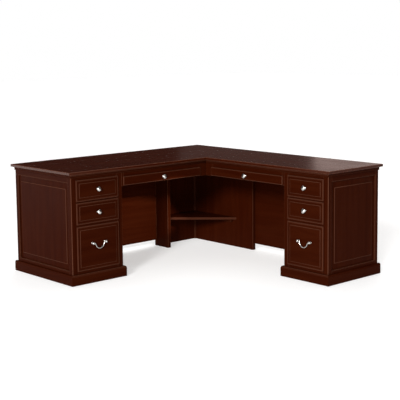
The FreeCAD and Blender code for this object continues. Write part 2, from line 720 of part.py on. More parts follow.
def shelf_cleats(x0, y0, y1):
    """Square cleats under the three held edges of the shelf, clear of the corner bead."""
    z1 = SHELF_TOP - SHELF_BOARD
    z0 = z1 - CLEAT
    return [
        box(x0, x0 + SHELF_NEAR_REACH, y1 - CLEAT, y1, z0, z1),
        box(x0, x0 + CLEAT, y0 + CLEAT, y1 - CLEAT, z0, z1),
        box(x0 + CORNER_BEAD, x0 + SHELF_NEAR_REACH + y1 - y0 - 2 * CLEAT, y0, y0 + CLEAT, z0, z1),
    ]


def corner_bead(x0, y0):
    """A quarter-round bead in the corner of the boards, over their whole height."""
    return [Part.makeCylinder(CORNER_BEAD, CARCASE_TOP - GLIDE_HEIGHT, V(x0, y0, GLIDE_HEIGHT), UP, 90)]


def joining_plates():
    """Flat steel plates under the seam between the two tops, each with four screw heads."""
    z1 = BOARD_UNDERSIDE
    z0 = z1 - PLATE_THICKNESS
    x0, x1 = DESK_DEPTH - PLATE_LENGTH / 2, DESK_DEPTH + PLATE_LENGTH / 2
    solids = []
    for y in (BACK_PLATE_PLACE, FRONT_PLATE_PLACE):
        solids.append(box(x0, x1, y, y + PLATE_WIDTH, z0, z1))
        for away in (-PLATE_SCREW_FAR, -PLATE_SCREW_NEAR, PLATE_SCREW_NEAR, PLATE_SCREW_FAR):
            centre = V(DESK_DEPTH + away, y + PLATE_WIDTH / 2, z0)
            solids.append(Part.makeCylinder(PLATE_SCREW_RADIUS, PLATE_SCREW_HEAD, centre, V(0, 0, -1)))
    return solids


def glide(x, y):
    """One round glide on the floor."""
    return Part.makeCylinder(GLIDE_DIAMETER / 2, GLIDE_HEIGHT, V(x, y, 0))


def pedestal_glides(wing):
    """Four glides under the sides of a pedestal."""
    outer = wing.left + FRAME_BOARD / 2
    inner = wing.right - SIDE_BOARD / 2
    ys = (FACE + GLIDE_INSET, wing.carcase_back - GLIDE_INSET)
    return [wing.place(glide(x, y)) for x in (outer, inner) for y in ys]


def gable_glides():
    """Glides under both ends of the two gables."""
    back1 = MODESTY_SETBACK + SIDE_BOARD
    spots = [
        (back1 + GLIDE_INSET, BACK_GABLE_PLACE + GABLE_BOARD / 2),
        (back1 + BACK_GABLE_WIDTH - GLIDE_INSET, BACK_GABLE_PLACE + GABLE_BOARD / 2),
        (back1 + GLIDE_INSET, back1 + GABLE_BOARD / 2),
        (DESK_DEPTH - GLIDE_INSET, back1 + GABLE_BOARD / 2),
    ]
    return [place_corner(glide(x, y)) for x, y in spots]


def save_drawer(wing, drawer, fielded):
    """Write the nodes that one drawer is made of."""
    save(drawer.name + "_front", drawer_front(drawer, fielded), wing.place)
    save(drawer.name + "_box", drawer_box(drawer), wing.place)
    save(drawer.name + "_runners", runner_pair(drawer, True), wing.place)
    if drawer.handle == "knob":
        save(drawer.name + "_knob", knob(drawer), wing.place)
        return
    save(drawer.name + "_bail_posts", bail_posts(drawer), wing.place)
    save(drawer.name + "_bail", bail(drawer), wing.place)


def save_wing(wing, extra_battens):
    """Write the fixed nodes and the drawers of one wing, and return its slide members on the cabinet."""
    save(wing.name + "_top", [top_board(wing)], wing.place)
    mouldings = [wing.place(piece) for piece in top_moulding(wing)] + extra_battens
    save(wing.name + "_top_moulding", mouldings, lambda shape: shape)
    save(wing.name + "_end_frame", end_frame(wing), wing.place)
    save(wing.name + "_end_panel", end_panel(wing), wing.place)
    save(wing.name + "_carcase", carcase(wing), wing.place)
    save(wing.name + "_face_frame", face_frame(wing), wing.place)
    save(wing.name + "_plinth", plinth(wing), wing.place)
    save(wing.name + "_modesty_panel", modesty_panel(wing, wing.modesty_end), wing.place)
    runners = []
    for drawer in pedestal_drawers(wing):
        save_drawer(wing, drawer, True)
        runners += [wing.place(member) for member in runner_pair(drawer, False)]
    knee = kneehole_drawer(wing)
    save_drawer(wing, knee, False)
    runners += [wing.place(member) for member in runner_pair(knee, False)]
    return runners


desk = Wing(
    "desk", DESK_LENGTH, DESK_DEPTH, DESK_LENGTH - RETURN_DEPTH, DESK_PEDESTAL_WIDTH, FRAME_BOARD,
    DESK_LENGTH - BACK_OVERHANG, DESK_LENGTH - BACK_GABLE_PLACE - GABLE_BOARD)
side = Wing(
    "return", RETURN_LENGTH, RETURN_DEPTH, RETURN_LENGTH, RETURN_PEDESTAL_WIDTH, 0,
    RETURN_LENGTH, RETURN_LENGTH + BATTEN_WIDTH)

runners = save_wing(desk, [place_corner(batten) for batten in gable_battens()])
runners += save_wing(side, [])
corner_parts()
aprons = [desk.place(board) for board in apron(desk)] + [side.place(board) for board in apron(side)]
save("apron_frame", aprons, lambda shape: shape)
save("cabinet_runners", runners, lambda shape: shape)
save("glides", pedestal_glides(desk) + pedestal_glides(side) + gable_glides(), lambda shape: shape)
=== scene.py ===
import math
import random

import bmesh
import bpy
from mathutils import Matrix, Vector


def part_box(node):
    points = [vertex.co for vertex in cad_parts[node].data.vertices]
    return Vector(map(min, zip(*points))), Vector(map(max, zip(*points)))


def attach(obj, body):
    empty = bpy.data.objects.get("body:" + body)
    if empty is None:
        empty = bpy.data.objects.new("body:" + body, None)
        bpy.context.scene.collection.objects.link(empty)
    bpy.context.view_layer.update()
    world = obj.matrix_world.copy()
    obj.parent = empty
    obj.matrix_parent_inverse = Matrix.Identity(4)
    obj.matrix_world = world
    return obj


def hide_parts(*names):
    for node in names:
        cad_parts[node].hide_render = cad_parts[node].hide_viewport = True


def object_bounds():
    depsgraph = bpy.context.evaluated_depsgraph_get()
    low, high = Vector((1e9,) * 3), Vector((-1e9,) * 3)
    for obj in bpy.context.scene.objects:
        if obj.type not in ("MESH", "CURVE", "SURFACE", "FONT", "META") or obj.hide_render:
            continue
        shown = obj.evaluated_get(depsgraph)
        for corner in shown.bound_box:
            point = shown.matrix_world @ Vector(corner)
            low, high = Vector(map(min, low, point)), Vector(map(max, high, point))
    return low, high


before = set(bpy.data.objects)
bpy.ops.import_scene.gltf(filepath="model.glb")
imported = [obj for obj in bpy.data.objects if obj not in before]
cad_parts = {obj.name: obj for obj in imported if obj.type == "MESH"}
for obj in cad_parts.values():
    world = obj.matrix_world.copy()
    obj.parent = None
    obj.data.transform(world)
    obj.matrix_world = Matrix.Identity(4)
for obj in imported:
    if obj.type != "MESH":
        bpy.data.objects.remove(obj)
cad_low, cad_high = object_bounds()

# The two tops. Each is a veneered board with a solid edge rounded above and below. The desk's runs through to
# the outer corner, and the return's butts against its inner edge with a fine seam. They are screwed down from
# below to the battens and mouldings. Dark cherry stain under a satin lacquer, the grain along each wing.
MM = 0.001
Y, Z = 1, 2
HEIGHT = 762
TOP_BOARD = 18
UNDERSIDE = HEIGHT - TOP_BOARD
OVERHANG = 30
FACE = OVERHANG
TOP_EDGE_ROUND = 3
SEAM_EASE = 0.7
TOP_EDGE_PAINTED_SHADE = -0.45
SHARP_ANGLE = math.radians(52)
GRAIN_SPREAD = 9
chance = random.Random(41)


class Wing:
    """A wing of the desk in its own frame, in millimetres: x from its free end, y from its front, z up."""

    def __init__(self, name, mirrored, pedestal, corner_block, modesty_end, batten_end):
        self.name = name
        low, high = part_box(name + "_top")
        flipped = Matrix(((-MM, 0, 0, high.x), (0, MM, 0, low.y), (0, 0, MM, 0), (0, 0, 0, 1)))
        quarter = Matrix(((0, -MM, 0, high.x), (MM, 0, 0, low.y), (0, 0, MM, 0), (0, 0, 0, 1)))
        self.place = flipped if mirrored else quarter
        size = (high - low) / MM
        self.length, self.depth = (size.x, size.y) if mirrored else (size.y, size.x)
        self.left = OVERHANG
        self.right = OVERHANG + pedestal
        self.corner_block = corner_block
        self.modesty_end = modesty_end
        self.batten_end = batten_end


desk = Wing("desk", mirrored=False, pedestal=420, corner_block=20, modesty_end=1273, batten_end=1748)
side = Wing("return", mirrored=True, pedestal=390, corner_block=0, modesty_end=1210, batten_end=1170)
desk.run = desk.length - side.depth
side.run = side.length
wings = (desk, side)

corner_low, corner_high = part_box("desk_top")
corner_place = Matrix((
    (MM, 0, 0, corner_low.x), (0, -MM, 0, corner_high.y), (0, 0, MM, 0), (0, 0, 0, 1)))

TURNED = {
    "x": Matrix(((1, 0, 0), (0, 1, 0), (0, 0, 1))),
    "y": Matrix(((0, 1, 0), (0, 0, 1), (1, 0, 0))),
    "z": Matrix(((0, 0, 1), (1, 0, 0), (0, 1, 0))),
}


def new_part():
    """An empty part, with a place for the run of its grain and for the light and shade painted on it."""
    part = bmesh.new()
    part.verts.layers.float_vector.new("grain")
    part.faces.layers.float.new("painted_light")
    return part


def soften(part, edges, radius, steps=2, painted_level=1.0):
    """Round some edges of a part, and give the rounds a level of painted light: highlight above 0, shade
    below.
    """
    made = bmesh.ops.bevel(
        part, geom=list(edges), offset=radius, offset_type="OFFSET", affect="EDGES",
        segments=steps, profile=0.5, material=-1)
    painted_light = part.faces.layers.float["painted_light"]
    for face in made["faces"]:
        face[painted_light] = painted_level


def board(x0, x1, y0, y1, z0, z1, ease=1.0, steps=2):
    """A board from its low and high limits, with eased edges that carry a painted highlight."""
    part = new_part()
    middle = Vector((x0 + x1, y0 + y1, z0 + z1)) / 2
    size = Matrix.Diagonal((x1 - x0, y1 - y0, z1 - z0, 1))
    bmesh.ops.create_cube(part, size=1, matrix=Matrix.Translation(middle) @ size)
    if ease:
        soften(part, part.edges, ease, steps)
    return part


def edges_where(part, test):
    """The edges of a part whose both ends pass a test."""
    return [edge for edge in part.edges if all(test(vert.co) for vert in edge.verts)]


def runs_along(edge, axis):
    """Whether an edge goes more than a millimetre along an axis."""
    return abs(edge.verts[0].co[axis] - edge.verts[1].co[axis]) > 1


class Piece:
    """A piece as it is put together from its parts, each with its own run of grain."""

    def __init__(self):
        self.mesh = new_part()

    def add(self, part, along="x"):
        """Take in a part whose grain runs along x, y or z of the frame it is drawn in."""
        grain = part.verts.layers.float_vector["grain"]
        start = Vector([chance.uniform(0, GRAIN_SPREAD) for _ in range(3)])
        for vert in part.verts:
            vert[grain] = start + TURNED[along] @ vert.co * MM
        taken = bpy.data.meshes.new("part")
        part.to_mesh(taken)
        part.free()
        self.mesh.from_mesh(taken)
        bpy.data.meshes.remove(taken)

    def finish(self, name, place, body, replaced, material, slot, smooth_levels=0):
        """Turn the parts into one object in its place, riding on its body."""
        self.mesh.transform(place)
        if place.determinant() < 0:
            bmesh.ops.reverse_faces(self.mesh, faces=self.mesh.faces)
        shape = bpy.data.meshes.new(name)
        self.mesh.to_mesh(shape)
        self.mesh.free()
        shape.shade_smooth()
        shape.set_sharp_from_angle(angle=SHARP_ANGLE)
        shape.materials.append(material)
        made = bpy.data.objects.new(name, shape)
        bpy.context.scene.collection.objects.link(made)
        if smooth_levels:
            rounder = made.modifiers.new("rounder", "SUBSURF")
            rounder.levels = rounder.render_levels = smooth_levels
        else:
            evened = made.modifiers.new("evened", "WEIGHTED_NORMAL")
            evened.keep_sharp = True
        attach(made, body)
        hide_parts(*replaced)


class Value:
    """A socket in a material's nodes. Arithmetic on it adds Math nodes."""

    def __init__(self, nodes, socket):
        self.nodes = nodes
        self.socket = socket

    def math(self, operation, first, second=0.0):
        return self.nodes.add("Math", {"operation": operation}, {0: first, 1: second})

    def __add__(self, other):
        return self.math("ADD", self, other)

    __radd__ = __add__

    def __sub__(self, other):
        return self.math("SUBTRACT", self, other)

    def __rsub__(self, other):
        return self.math("SUBTRACT", other, self)

    def __mul__(self, other):
        return self.math("MULTIPLY", self, other)

    __rmul__ = __mul__

    def stretched(self, x, y, z):
        """This vector with each of its parts multiplied."""
        return self.nodes.add("VectorMath", {"operation": "MULTIPLY"}, {0: self, 1: (x, y, z)})


class Nodes:
    """The nodes of one material."""

    def __init__(self, name):
        self.material = bpy.data.materials.new(name)
        self.material.use_nodes = True
        self.tree = self.material.node_tree
        self.tree.nodes.clear()

    def add(self, kind, settings=None, inputs=None, output=0):
        """A node of a type, with its settings made first and then its sockets filled or linked."""
        made = self.tree.nodes.new("ShaderNode" + kind)
        for key, value in (settings or {}).items():
            setattr(made, key, value)
        for key, value in (inputs or {}).items():
            if isinstance(value, Value):
                self.tree.links.new(value.socket, made.inputs[key])
            else:
                made.inputs[key].default_value = value
        return Value(self, made.outputs[output]) if made.outputs else None

    def noise(self, where, scale=1.0, detail=2.0, roughness=0.5):
        inputs = {"Vector": where, "Scale": scale, "Detail": detail, "Roughness": roughness}
        return self.add("TexNoise", {}, inputs, "Fac")

    def span(self, value, low, high):
        """A value's run from low to high, brought to the run from 0 to 1 and held there."""
        return self.add("MapRange", {"clamp": True}, {0: value, 1: low, 2: high, 3: 0.0, 4: 1.0})

    def mix(self, first, second, share):
        """A colour between two others."""
        return self.add("Mix", {"data_type": "RGBA"}, {0: share, 6: first, 7: second}, 2)

    def bump(self, height, strength, distance, under=None):
        inputs = {"Strength": strength, "Distance": distance, "Height": height}
        if under:
            inputs["Normal"] = under
        return self.add("Bump", {}, inputs)

    def surface(self, **sockets):
        """The finished material, its shader's sockets given by name with spaces as underscores."""
        inputs = {key.replace("_", " "): value for key, value in sockets.items()}
        shader = self.add("BsdfPrincipled", {}, inputs)
        self.add("OutputMaterial", {}, {"Surface": shader})
        return self.material


def colour(red, green, blue):
    return (red, green, blue, 1.0)


def stained_wood(name, dark, middle, light, painted_shade, painted_highlight, rough, specular, tint):
    """Stained, lacquered wood: streaks and arched figure along the grain, pores, painted highlight and shade.

    Where the painted light is above 0, a lighter colour is painted on as a highlight, and where it is
    below 0, a darker colour is painted on as shade."""
    nodes = Nodes(name)
    grain = nodes.add("Attribute", {"attribute_name": "grain"}, {}, "Vector")
    painted_light = nodes.add("Attribute", {"attribute_name": "painted_light"}, {}, "Fac")
    streaks = nodes.noise(grain.stretched(0.7, 24, 24), detail=6.0, roughness=0.62)
    arches = nodes.noise(grain.stretched(0.5, 5, 5), detail=2.0, roughness=0.4)
    rings = nodes.add("Math", {"operation": "SINE"}, {0: arches * 70.0}) * 0.5 + 0.5
    specks = nodes.noise(grain.stretched(16, 620, 620), detail=2.0, roughness=0.6)
    pores = nodes.span(specks, low=0.60, high=0.72)
    cloud = nodes.noise(grain.stretched(2, 5, 5), detail=3.0, roughness=0.5)
    figure = streaks * 0.5 + rings * 0.16 + cloud * 0.45
    body = nodes.mix(dark, middle, nodes.span(streaks, low=0.30, high=0.62))
    body = nodes.mix(body, light, nodes.span(figure, low=0.45, high=0.80))
    body = nodes.mix(body, dark, pores * 0.55)
    # The painted highlight and the painted shade, mixed in by the painted light level of each face.
    body = nodes.mix(body, painted_highlight, nodes.span(painted_light, low=0.0, high=1.0) * 0.78)
    body = nodes.mix(body, painted_shade, nodes.span(painted_light, low=0.0, high=-1.0) * 0.8)
    smudges = nodes.noise(grain, scale=7.0, detail=3.0, roughness=0.55)
    gloss = rough + (streaks - 0.5) * 0.10 + (smudges - 0.5) * 0.12 + pores * 0.08
    ripple = nodes.noise(grain, scale=210.0, detail=2.0, roughness=0.5)
    peel = nodes.bump(ripple, strength=0.02, distance=0.0003)
    relief = nodes.bump(pores * -1.0 + streaks * 0.5, strength=0.05, distance=0.0003, under=peel)
    return nodes.surface(
        Base_Color=body, Roughness=gloss, Normal=relief, Specular_IOR_Level=specular,
        Specular_Tint=tint, IOR=1.5)


def shades(scale):
    """The colours of the cherry stain and of its painted highlight and shade, all made lighter or darker by
    one scale.
    """
    return {
        "dark": colour(0.0190 * scale, 0.0024 * scale, 0.0004 * scale),
        "middle": colour(0.0228 * scale, 0.0031 * scale, 0.0006 * scale),
        "light": colour(0.0270 * scale, 0.0043 * scale, 0.0010 * scale),
        "painted_shade": colour(0.0060 * scale, 0.0007 * scale, 0.0002 * scale),
        "painted_highlight": colour(0.0750 * scale, 0.0290 * scale, 0.0170 * scale),
        "tint": colour(1.0, 0.60, 0.42),
    }


# The top's finish is the same cherry stain painted 1.7 times lighter, standing in for more light on the tops.
top_painted_lighter = stained_wood("cherry_top_painted_lighter", rough=0.27, specular=0.16, **shades(1.7))
cherry = stained_wood("cherry_satin", rough=0.36, specular=0.01, **shades(1.0))

for wing in wings:
    piece = Piece()
    top = board(0, wing.run, 0, wing.depth, UNDERSIDE, HEIGHT, ease=0)
    outer = edges_where(top, lambda co: co.y < 1) + edges_where(top, lambda co: co.x < 1)
    outer = [edge for edge in set(outer) if not runs_along(edge, Z)]
    soften(top, outer, TOP_EDGE_ROUND, steps=4)
    # The rounds get a painted highlight, then every steep face of the edge gets painted shade that darkens
    # it.
    for face in top.faces:
        if abs(face.normal.z) < 0.5:
            face[top.faces.layers.float["painted_light"]] = TOP_EDGE_PAINTED_SHADE
    piece.add(top)
    if wing.length > wing.run:
        piece.add(board(wing.run, wing.length, 0, wing.depth, UNDERSIDE, HEIGHT, ease=SEAM_EASE, steps=1))
    piece.finish(
        wing.name + "_top_board", wing.place, "cabinet", [wing.name + "_top"], top_painted_lighter, "cherry_finish")

# The moulding under each top: a bead, a deep cove and a small fillet, run in lengths along the free end and
# the front and mitred at the corner. Behind it, plain battens carry the rest of the top. Solid stained wood,
# glued and pinned to the cabinet.
MOULDING_HEIGHT = 23
CARCASE_TOP = UNDERSIDE - MOULDING_HEIGHT
MOULDING_OUT = 25
MOULDING_IN = 40
MOULDING_BEAD = 7
MOULDING_BEAD_OUT = 9
MOULDING_BEAD_ROUND = 3.2
COVE_FOOT = 7
COVE_ROUND = 14.4
FILLET = 1
FILLET_EASE = 0.6
MOULDING_PAINTED_HIGHLIGHT = 0.45
BATTEN = 40
BACK_OVERHANG = 12
# Each corner of a section is given by its distance out, its height and how far it is rounded.
COVE_SECTION = [
    (-MOULDING_IN, CARCASE_TOP, 0),
    (MOULDING_BEAD_OUT, CARCASE_TOP, MOULDING_BEAD_ROUND),
    (MOULDING_BEAD_OUT, CARCASE_TOP + MOULDING_BEAD, MOULDING_BEAD_ROUND),
    (COVE_FOOT, CARCASE_TOP + MOULDING_BEAD, 0),
    (COVE_FOOT, UNDERSIDE - FILLET, COVE_ROUND),
    (MOULDING_OUT, UNDERSIDE - FILLET, FILLET_EASE),
    (MOULDING_OUT, UNDERSIDE, 0),
    (-MOULDING_IN, UNDERSIDE, 0),
]


def turn(points, i, out):
    """How a path's point moves for each unit that the runs beside it move outwards."""
    if i in (0, len(points) - 1):
        return out
    before = (points[i] - points[i - 1]).normalized()
    after = (points[i + 1] - points[i]).normalized()
    return Vector((before.y, -before.x, 0)) + Vector((after.y, -after.x, 0))


def extruded(part):
    """Extrude a part's one face on the spot, and give the corners of the new face."""
    made = bmesh.ops.extrude_face_region(part, geom=part.faces[:])
    return [item for item in made["geom"] if isinstance(item, bmesh.types.BMVert)]


def moulding(piece, path, section, skipped=0):
    """Lengths of a section along a path, mitred where they meet. The last skipped runs aren't made."""
    points = [Vector((x, y, 0)) for x, y in path]
    for i in range(len(points) - 1 - skipped):
        part = new_part()
        run = points[i + 1] - points[i]
        ahead = run.normalized()
        out = Vector((ahead.y, -ahead.x, 0))
        corners = [part.verts.new((x, 0, z)) for x, z, _ in section]
        part.faces.new(corners)
        for vert, (_, _, radius) in zip(corners, section):
            if radius:
                bmesh.ops.bevel(
                    part, geom=[vert], offset=radius, offset_type="OFFSET", affect="VERTICES",
                    segments=8 if radius > 6 else 4, profile=0.5, material=-1)
        first = turn(points, i, out)
        last = turn(points, i + 1, out)
        far = set(extruded(part))
        for vert in part.verts:
            slant, start = (last, points[i + 1]) if vert in far else (first, points[i])
            vert.co = start + slant * vert.co.x + Vector((0, 0, vert.co.z))
        bmesh.ops.recalc_face_normals(part, faces=part.faces)
        painted_light = part.faces.layers.float["painted_light"]
        # Faces that slope upwards get a painted highlight, as if lit from above.
        for face in part.faces:
            if 0.2 < face.normal.z < 0.95:
                face[painted_light] = MOULDING_PAINTED_HIGHLIGHT
        piece.add(part, "x" if abs(ahead.x) > 0.5 else "y")


for wing in wings:
    piece = Piece()
    back = wing.depth - BACK_OVERHANG
    corner = wing.run + OVERHANG
    path = [(wing.left, back), (wing.left, FACE), (corner, FACE), (corner, 0)]
    moulding(piece, path, COVE_SECTION, skipped=1)
    end = wing.left + MOULDING_IN
    inner = back - BATTEN
    piece.add(board(end, wing.batten_end, inner, back, CARCASE_TOP, UNDERSIDE))
    piece.add(board(
        wing.right - BATTEN, wing.right, FACE + MOULDING_IN, inner, CARCASE_TOP, UNDERSIDE), "y")
    piece.finish(
        wing.name + "_cove_moulding", wing.place, "cabinet", [wing.name + "_top_moulding"], cherry,
        "cherry_finish")

# Battens over the two gables of the corner, drawn from the outer back corner of the tops. They belong to the
# desk top's set of battens, are plain stained strips, and are screwed to the gables.
PANEL_FRONT = 48
GABLE_BOARD = 28
BACK_GABLE_WIDTH = 142
BACK_GABLE = 459
piece = Piece()
behind = BACK_OVERHANG + BATTEN
gable_near = BACK_GABLE + GABLE_BOARD
gable_end = PANEL_FRONT + BACK_GABLE_WIDTH
end_near = PANEL_FRONT + GABLE_BOARD
piece.add(board(behind, gable_end, BACK_GABLE, gable_near, CARCASE_TOP, UNDERSIDE))
piece.add(board(behind, desk.depth, PANEL_FRONT, end_near, CARCASE_TOP, UNDERSIDE))
piece.finish("corner_battens", corner_place, "cabinet", ["desk_top_moulding"], cherry, "cherry_finish")

# The outer end of each pedestal: two stiles and two rails round a raised panel. The frame's inner edges carry
# a small bead. The panel has a thin edge in the frame, a wide sloping band, a step and a flat field. All
# stained cherry, the stiles and the panel with upright grain, glued to the liner behind.
GLIDE_HEIGHT = 4
FRAME_BOARD = 20
FRAME_BACK = FACE + FRAME_BOARD
END_FRONT_STILE = 17
END_BACK_STILE = 26
END_TOP_RAIL = 31
FRAME_EASE = 0.8
FILE_BOTTOM = 93
PANEL_EDGE = 7
STICKING = 5
STICKING_SETBACK = 2.5
STICKING_ROUND = 1.8
FIRST_INSET = 0.1


def terrace(part, face, steps):
    """Step a rectangular face inwards. Each step is its way sideways, upright and outwards, and the painted
    light
    on its rim: highlight above 0, shade below.
    """
    painted_light = part.faces.layers.float["painted_light"]
    normal = face.normal.copy()
    across = Vector((abs(normal.y), abs(normal.x), 0))
    for sideways, upright, rise, painted_level in steps:
        rim = bmesh.ops.inset_individual(
            part, faces=[face], thickness=FIRST_INSET, depth=0, use_even_offset=True)
        middle = face.calc_center_median()
        for vert in face.verts:
            away = vert.co - middle
            side_sign = math.copysign(1, away.dot(across))
            up_sign = math.copysign(1, away.z)
            upright_part = Vector((0, 0, up_sign * (upright - FIRST_INSET)))
            vert.co -= across * side_sign * (sideways - FIRST_INSET) + upright_part
            vert.co += normal * rise
        for made in rim["faces"]:
            made[painted_light] = painted_level


def facing(part, direction):
    """The largest face of a part that looks one way."""
    part.normal_update()
    seen = (face for face in part.faces if face.normal.dot(Vector(direction)) > 0.99)
    return max(seen, key=lambda face: face.calc_area())


# The last number of each step is painted light on its rim: the bead lines get painted highlight and the
# grooves painted shade.
PANEL_STEPS = [
    (1.0, 1.0, 0.0, -1.0),
    (5.0, 5.0, 0.4, 0.0),
    (24.0, 38.0, 3.2, 0.0),
    (1.2, 1.2, 0.2, -0.8),
    (1.2, 1.2, 1.9, 0.3),
    (1.2, 1.2, 0.9, 1.0),
    (1.4, 1.4, 0.3, 1.0),
    (1.4, 1.4, -0.2, 0.4),
    (0.8, 0.8, -0.6, -0.3),
]

for wing in wings:
    piece = Piece()
    x0, x1 = wing.left, wing.left + FRAME_BOARD
    back = wing.depth - BACK_OVERHANG
    near, far = FRAME_BACK + END_FRONT_STILE, back - END_BACK_STILE
    top = CARCASE_TOP - END_TOP_RAIL
    piece.add(board(x0, x1, FRAME_BACK, near, GLIDE_HEIGHT, CARCASE_TOP, FRAME_EASE), "z")
    piece.add(board(x0, x1, far, back, GLIDE_HEIGHT, CARCASE_TOP, FRAME_EASE), "z")
    piece.add(board(x0, x1, near, far, top, CARCASE_TOP, FRAME_EASE), "y")
    piece.add(board(x0, x1, near, far, GLIDE_HEIGHT, FILE_BOTTOM, FRAME_EASE), "y")
    piece.finish(
        wing.name + "_end_rails", wing.place, "cabinet", [wing.name + "_end_frame"], cherry, "cherry_finish")

    piece = Piece()
    panel = board(x1 - PANEL_EDGE, x1, near, far, FILE_BOTTOM, top, ease=0)
    terrace(panel, facing(panel, (-1, 0, 0)), PANEL_STEPS)
    piece.add(panel, "z")
    rim = [(near, far, top - STICKING, top), (near, far, FILE_BOTTOM, FILE_BOTTOM + STICKING)]
    rim += [(near, near + STICKING, FILE_BOTTOM, top), (far - STICKING, far, FILE_BOTTOM, top)]
    for y0, y1, z0, z1 in rim:
        strip = board(x0 + STICKING_SETBACK, x1 - PANEL_EDGE, y0, y1, z0, z1, STICKING_ROUND, steps=3)
        piece.add(strip, "z" if z1 - z0 > y1 - y0 else "y")
    piece.finish(
        wing.name + "_raised_panel", wing.place, "cabinet", [wing.name + "_end_panel"], cherry,
        "cherry_finish")

# The inner boards of each pedestal: a liner behind the raised panel, the kneehole side, a bottom, a back, and
# level strips that bring the drawer slides in line with the openings. Stained boards, glued and dowelled.
LINER_BOARD = 12
BACK_BOARD = 12
SIDE_BOARD = 18
STILE_REVEAL = 36
FRONT_LIP = 8
SPACER_HEIGHT = 45
BOX_ABOVE_OPENING = 12
BOX_BELOW_OPENING = 20
CABINET_RUNNER_HEIGHT = 35
SLIDE_SPACE = 12.7
BOX_BACK_SPACE = 40
KNEEHOLE_RAIL = 29
KNEEHOLE_FRONT = 62
KNEEHOLE_TOP = CARCASE_TOP - KNEEHOLE_RAIL
KNEEHOLE_BOTTOM = KNEEHOLE_TOP - KNEEHOLE_FRONT
TONGUE_GAP = 1.5
TONGUE_DEPTH = 9
BOX_FRONT = FACE + TONGUE_DEPTH
KNEEHOLE_BOX_LENGTH = 380
PEDESTAL_GAP = 10
CORNER_STILE = 62
LEVELS = [("upper", 560, 704), ("middle", 406, 551), ("file", FILE_BOTTOM, 392)]


class Drawer:
    """A drawer's front, the opening behind it and its box, all as limits in its wing's frame."""

    def __init__(self, wing, level, z0, z1):
        shallow = level == "kneehole"
        self.level = level
        self.body = wing.name + "_" + level + "_drawer"
        self.x0 = wing.right + PEDESTAL_GAP if shallow else wing.left + STILE_REVEAL
        self.x1 = wing.run + OVERHANG - CORNER_STILE if shallow else wing.right - STILE_REVEAL
        self.z0, self.z1 = z0, z1
        self.open_x0, self.open_x1 = self.x0 + FRONT_LIP, self.x1 - FRONT_LIP
        self.open_z0 = z0 + (TONGUE_GAP if shallow else FRONT_LIP)
        self.open_z1 = z1 - FRONT_LIP
        self.box_z0 = z0 + FRONT_LIP if shallow else self.open_z0 + BOX_ABOVE_OPENING
        self.box_z1 = z1 - BOX_ABOVE_OPENING if shallow else self.open_z1 - BOX_BELOW_OPENING
        self.box_end = wing.depth - BACK_OVERHANG - BACK_BOARD - BOX_BACK_SPACE
        self.slide = self.box_z0 + CABINET_RUNNER_HEIGHT
        if shallow:
            self.box_end = BOX_FRONT + KNEEHOLE_BOX_LENGTH
            self.slide = (self.box_z0 + self.box_z1) / 2
        self.middle_x = (self.x0 + self.x1) / 2
        self.middle_z = (self.z0 + self.z1) / 2


for wing in wings:
    wing.drawers = [Drawer(wing, *level) for level in LEVELS]
    wing.knee = Drawer(wing, "kneehole", KNEEHOLE_BOTTOM, KNEEHOLE_TOP)
    piece = Piece()
    z0, z1 = GLIDE_HEIGHT, CARCASE_TOP
    liner = wing.left + FRAME_BOARD
    inner = wing.right - SIDE_BOARD
    back = wing.depth - BACK_OVERHANG
    inner_back = back - BACK_BOARD
    open0, open1 = wing.drawers[0].open_x0, wing.drawers[0].open_x1
    piece.add(board(liner, liner + LINER_BOARD, FRAME_BACK, inner_back, z0, z1), "z")
    piece.add(board(inner, wing.right, FRAME_BACK, back, z0, z1), "z")
    piece.add(board(
        liner + LINER_BOARD, inner, FRAME_BACK, inner_back, FILE_BOTTOM - SIDE_BOARD, FILE_BOTTOM))
    piece.add(board(liner, inner, inner_back, back, z0, z1), "z")
    for drawer in wing.drawers:
        low, high = drawer.slide - SPACER_HEIGHT / 2, drawer.slide + SPACER_HEIGHT / 2
        piece.add(board(liner + LINER_BOARD, open0, FRAME_BACK, inner_back, low, high), "y")
        piece.add(board(open1, inner, FRAME_BACK, inner_back, low, high), "y")
    piece.finish(
        wing.name + "_pedestal_boards", wing.place, "cabinet", [wing.name + "_carcase"], cherry,
        "cherry_finish")

# The face frame of each pedestal: two upright stiles and four rails between them, stained cherry. The outer
# stile's corner is rounded, and the frame is glued to the front of the pedestal.
CORNER_ROUND = 4
STILE_EASE = 1.4
RAIL_EASE = 0.6

for wing in wings:
    piece = Piece()
    open0, open1 = wing.drawers[0].open_x0, wing.drawers[0].open_x1
    outer = board(wing.left, open0, FACE, FRAME_BACK, GLIDE_HEIGHT, CARCASE_TOP, ease=0)
    corner = edges_where(outer, lambda co: co.x < wing.left + 1 and co.y < FACE + 1)
    soften(outer, corner, CORNER_ROUND, steps=5)
    piece.add(outer, "z")
    inner = board(open1, wing.right, FACE, FRAME_BACK, GLIDE_HEIGHT, CARCASE_TOP, STILE_EASE, steps=3)
    piece.add(inner, "z")
    upwards = wing.drawers[::-1]
    lows = [GLIDE_HEIGHT] + [drawer.open_z1 for drawer in upwards]
    highs = [drawer.open_z0 for drawer in upwards] + [CARCASE_TOP]
    for low, high in zip(lows, highs):
        piece.add(board(open0, open1, FACE, FRAME_BACK, low, high, RAIL_EASE))
    piece.finish(
        wing.name + "_face_rails", wing.place, "cabinet", [wing.name + "_face_frame"], cherry,
        "cherry_finish")

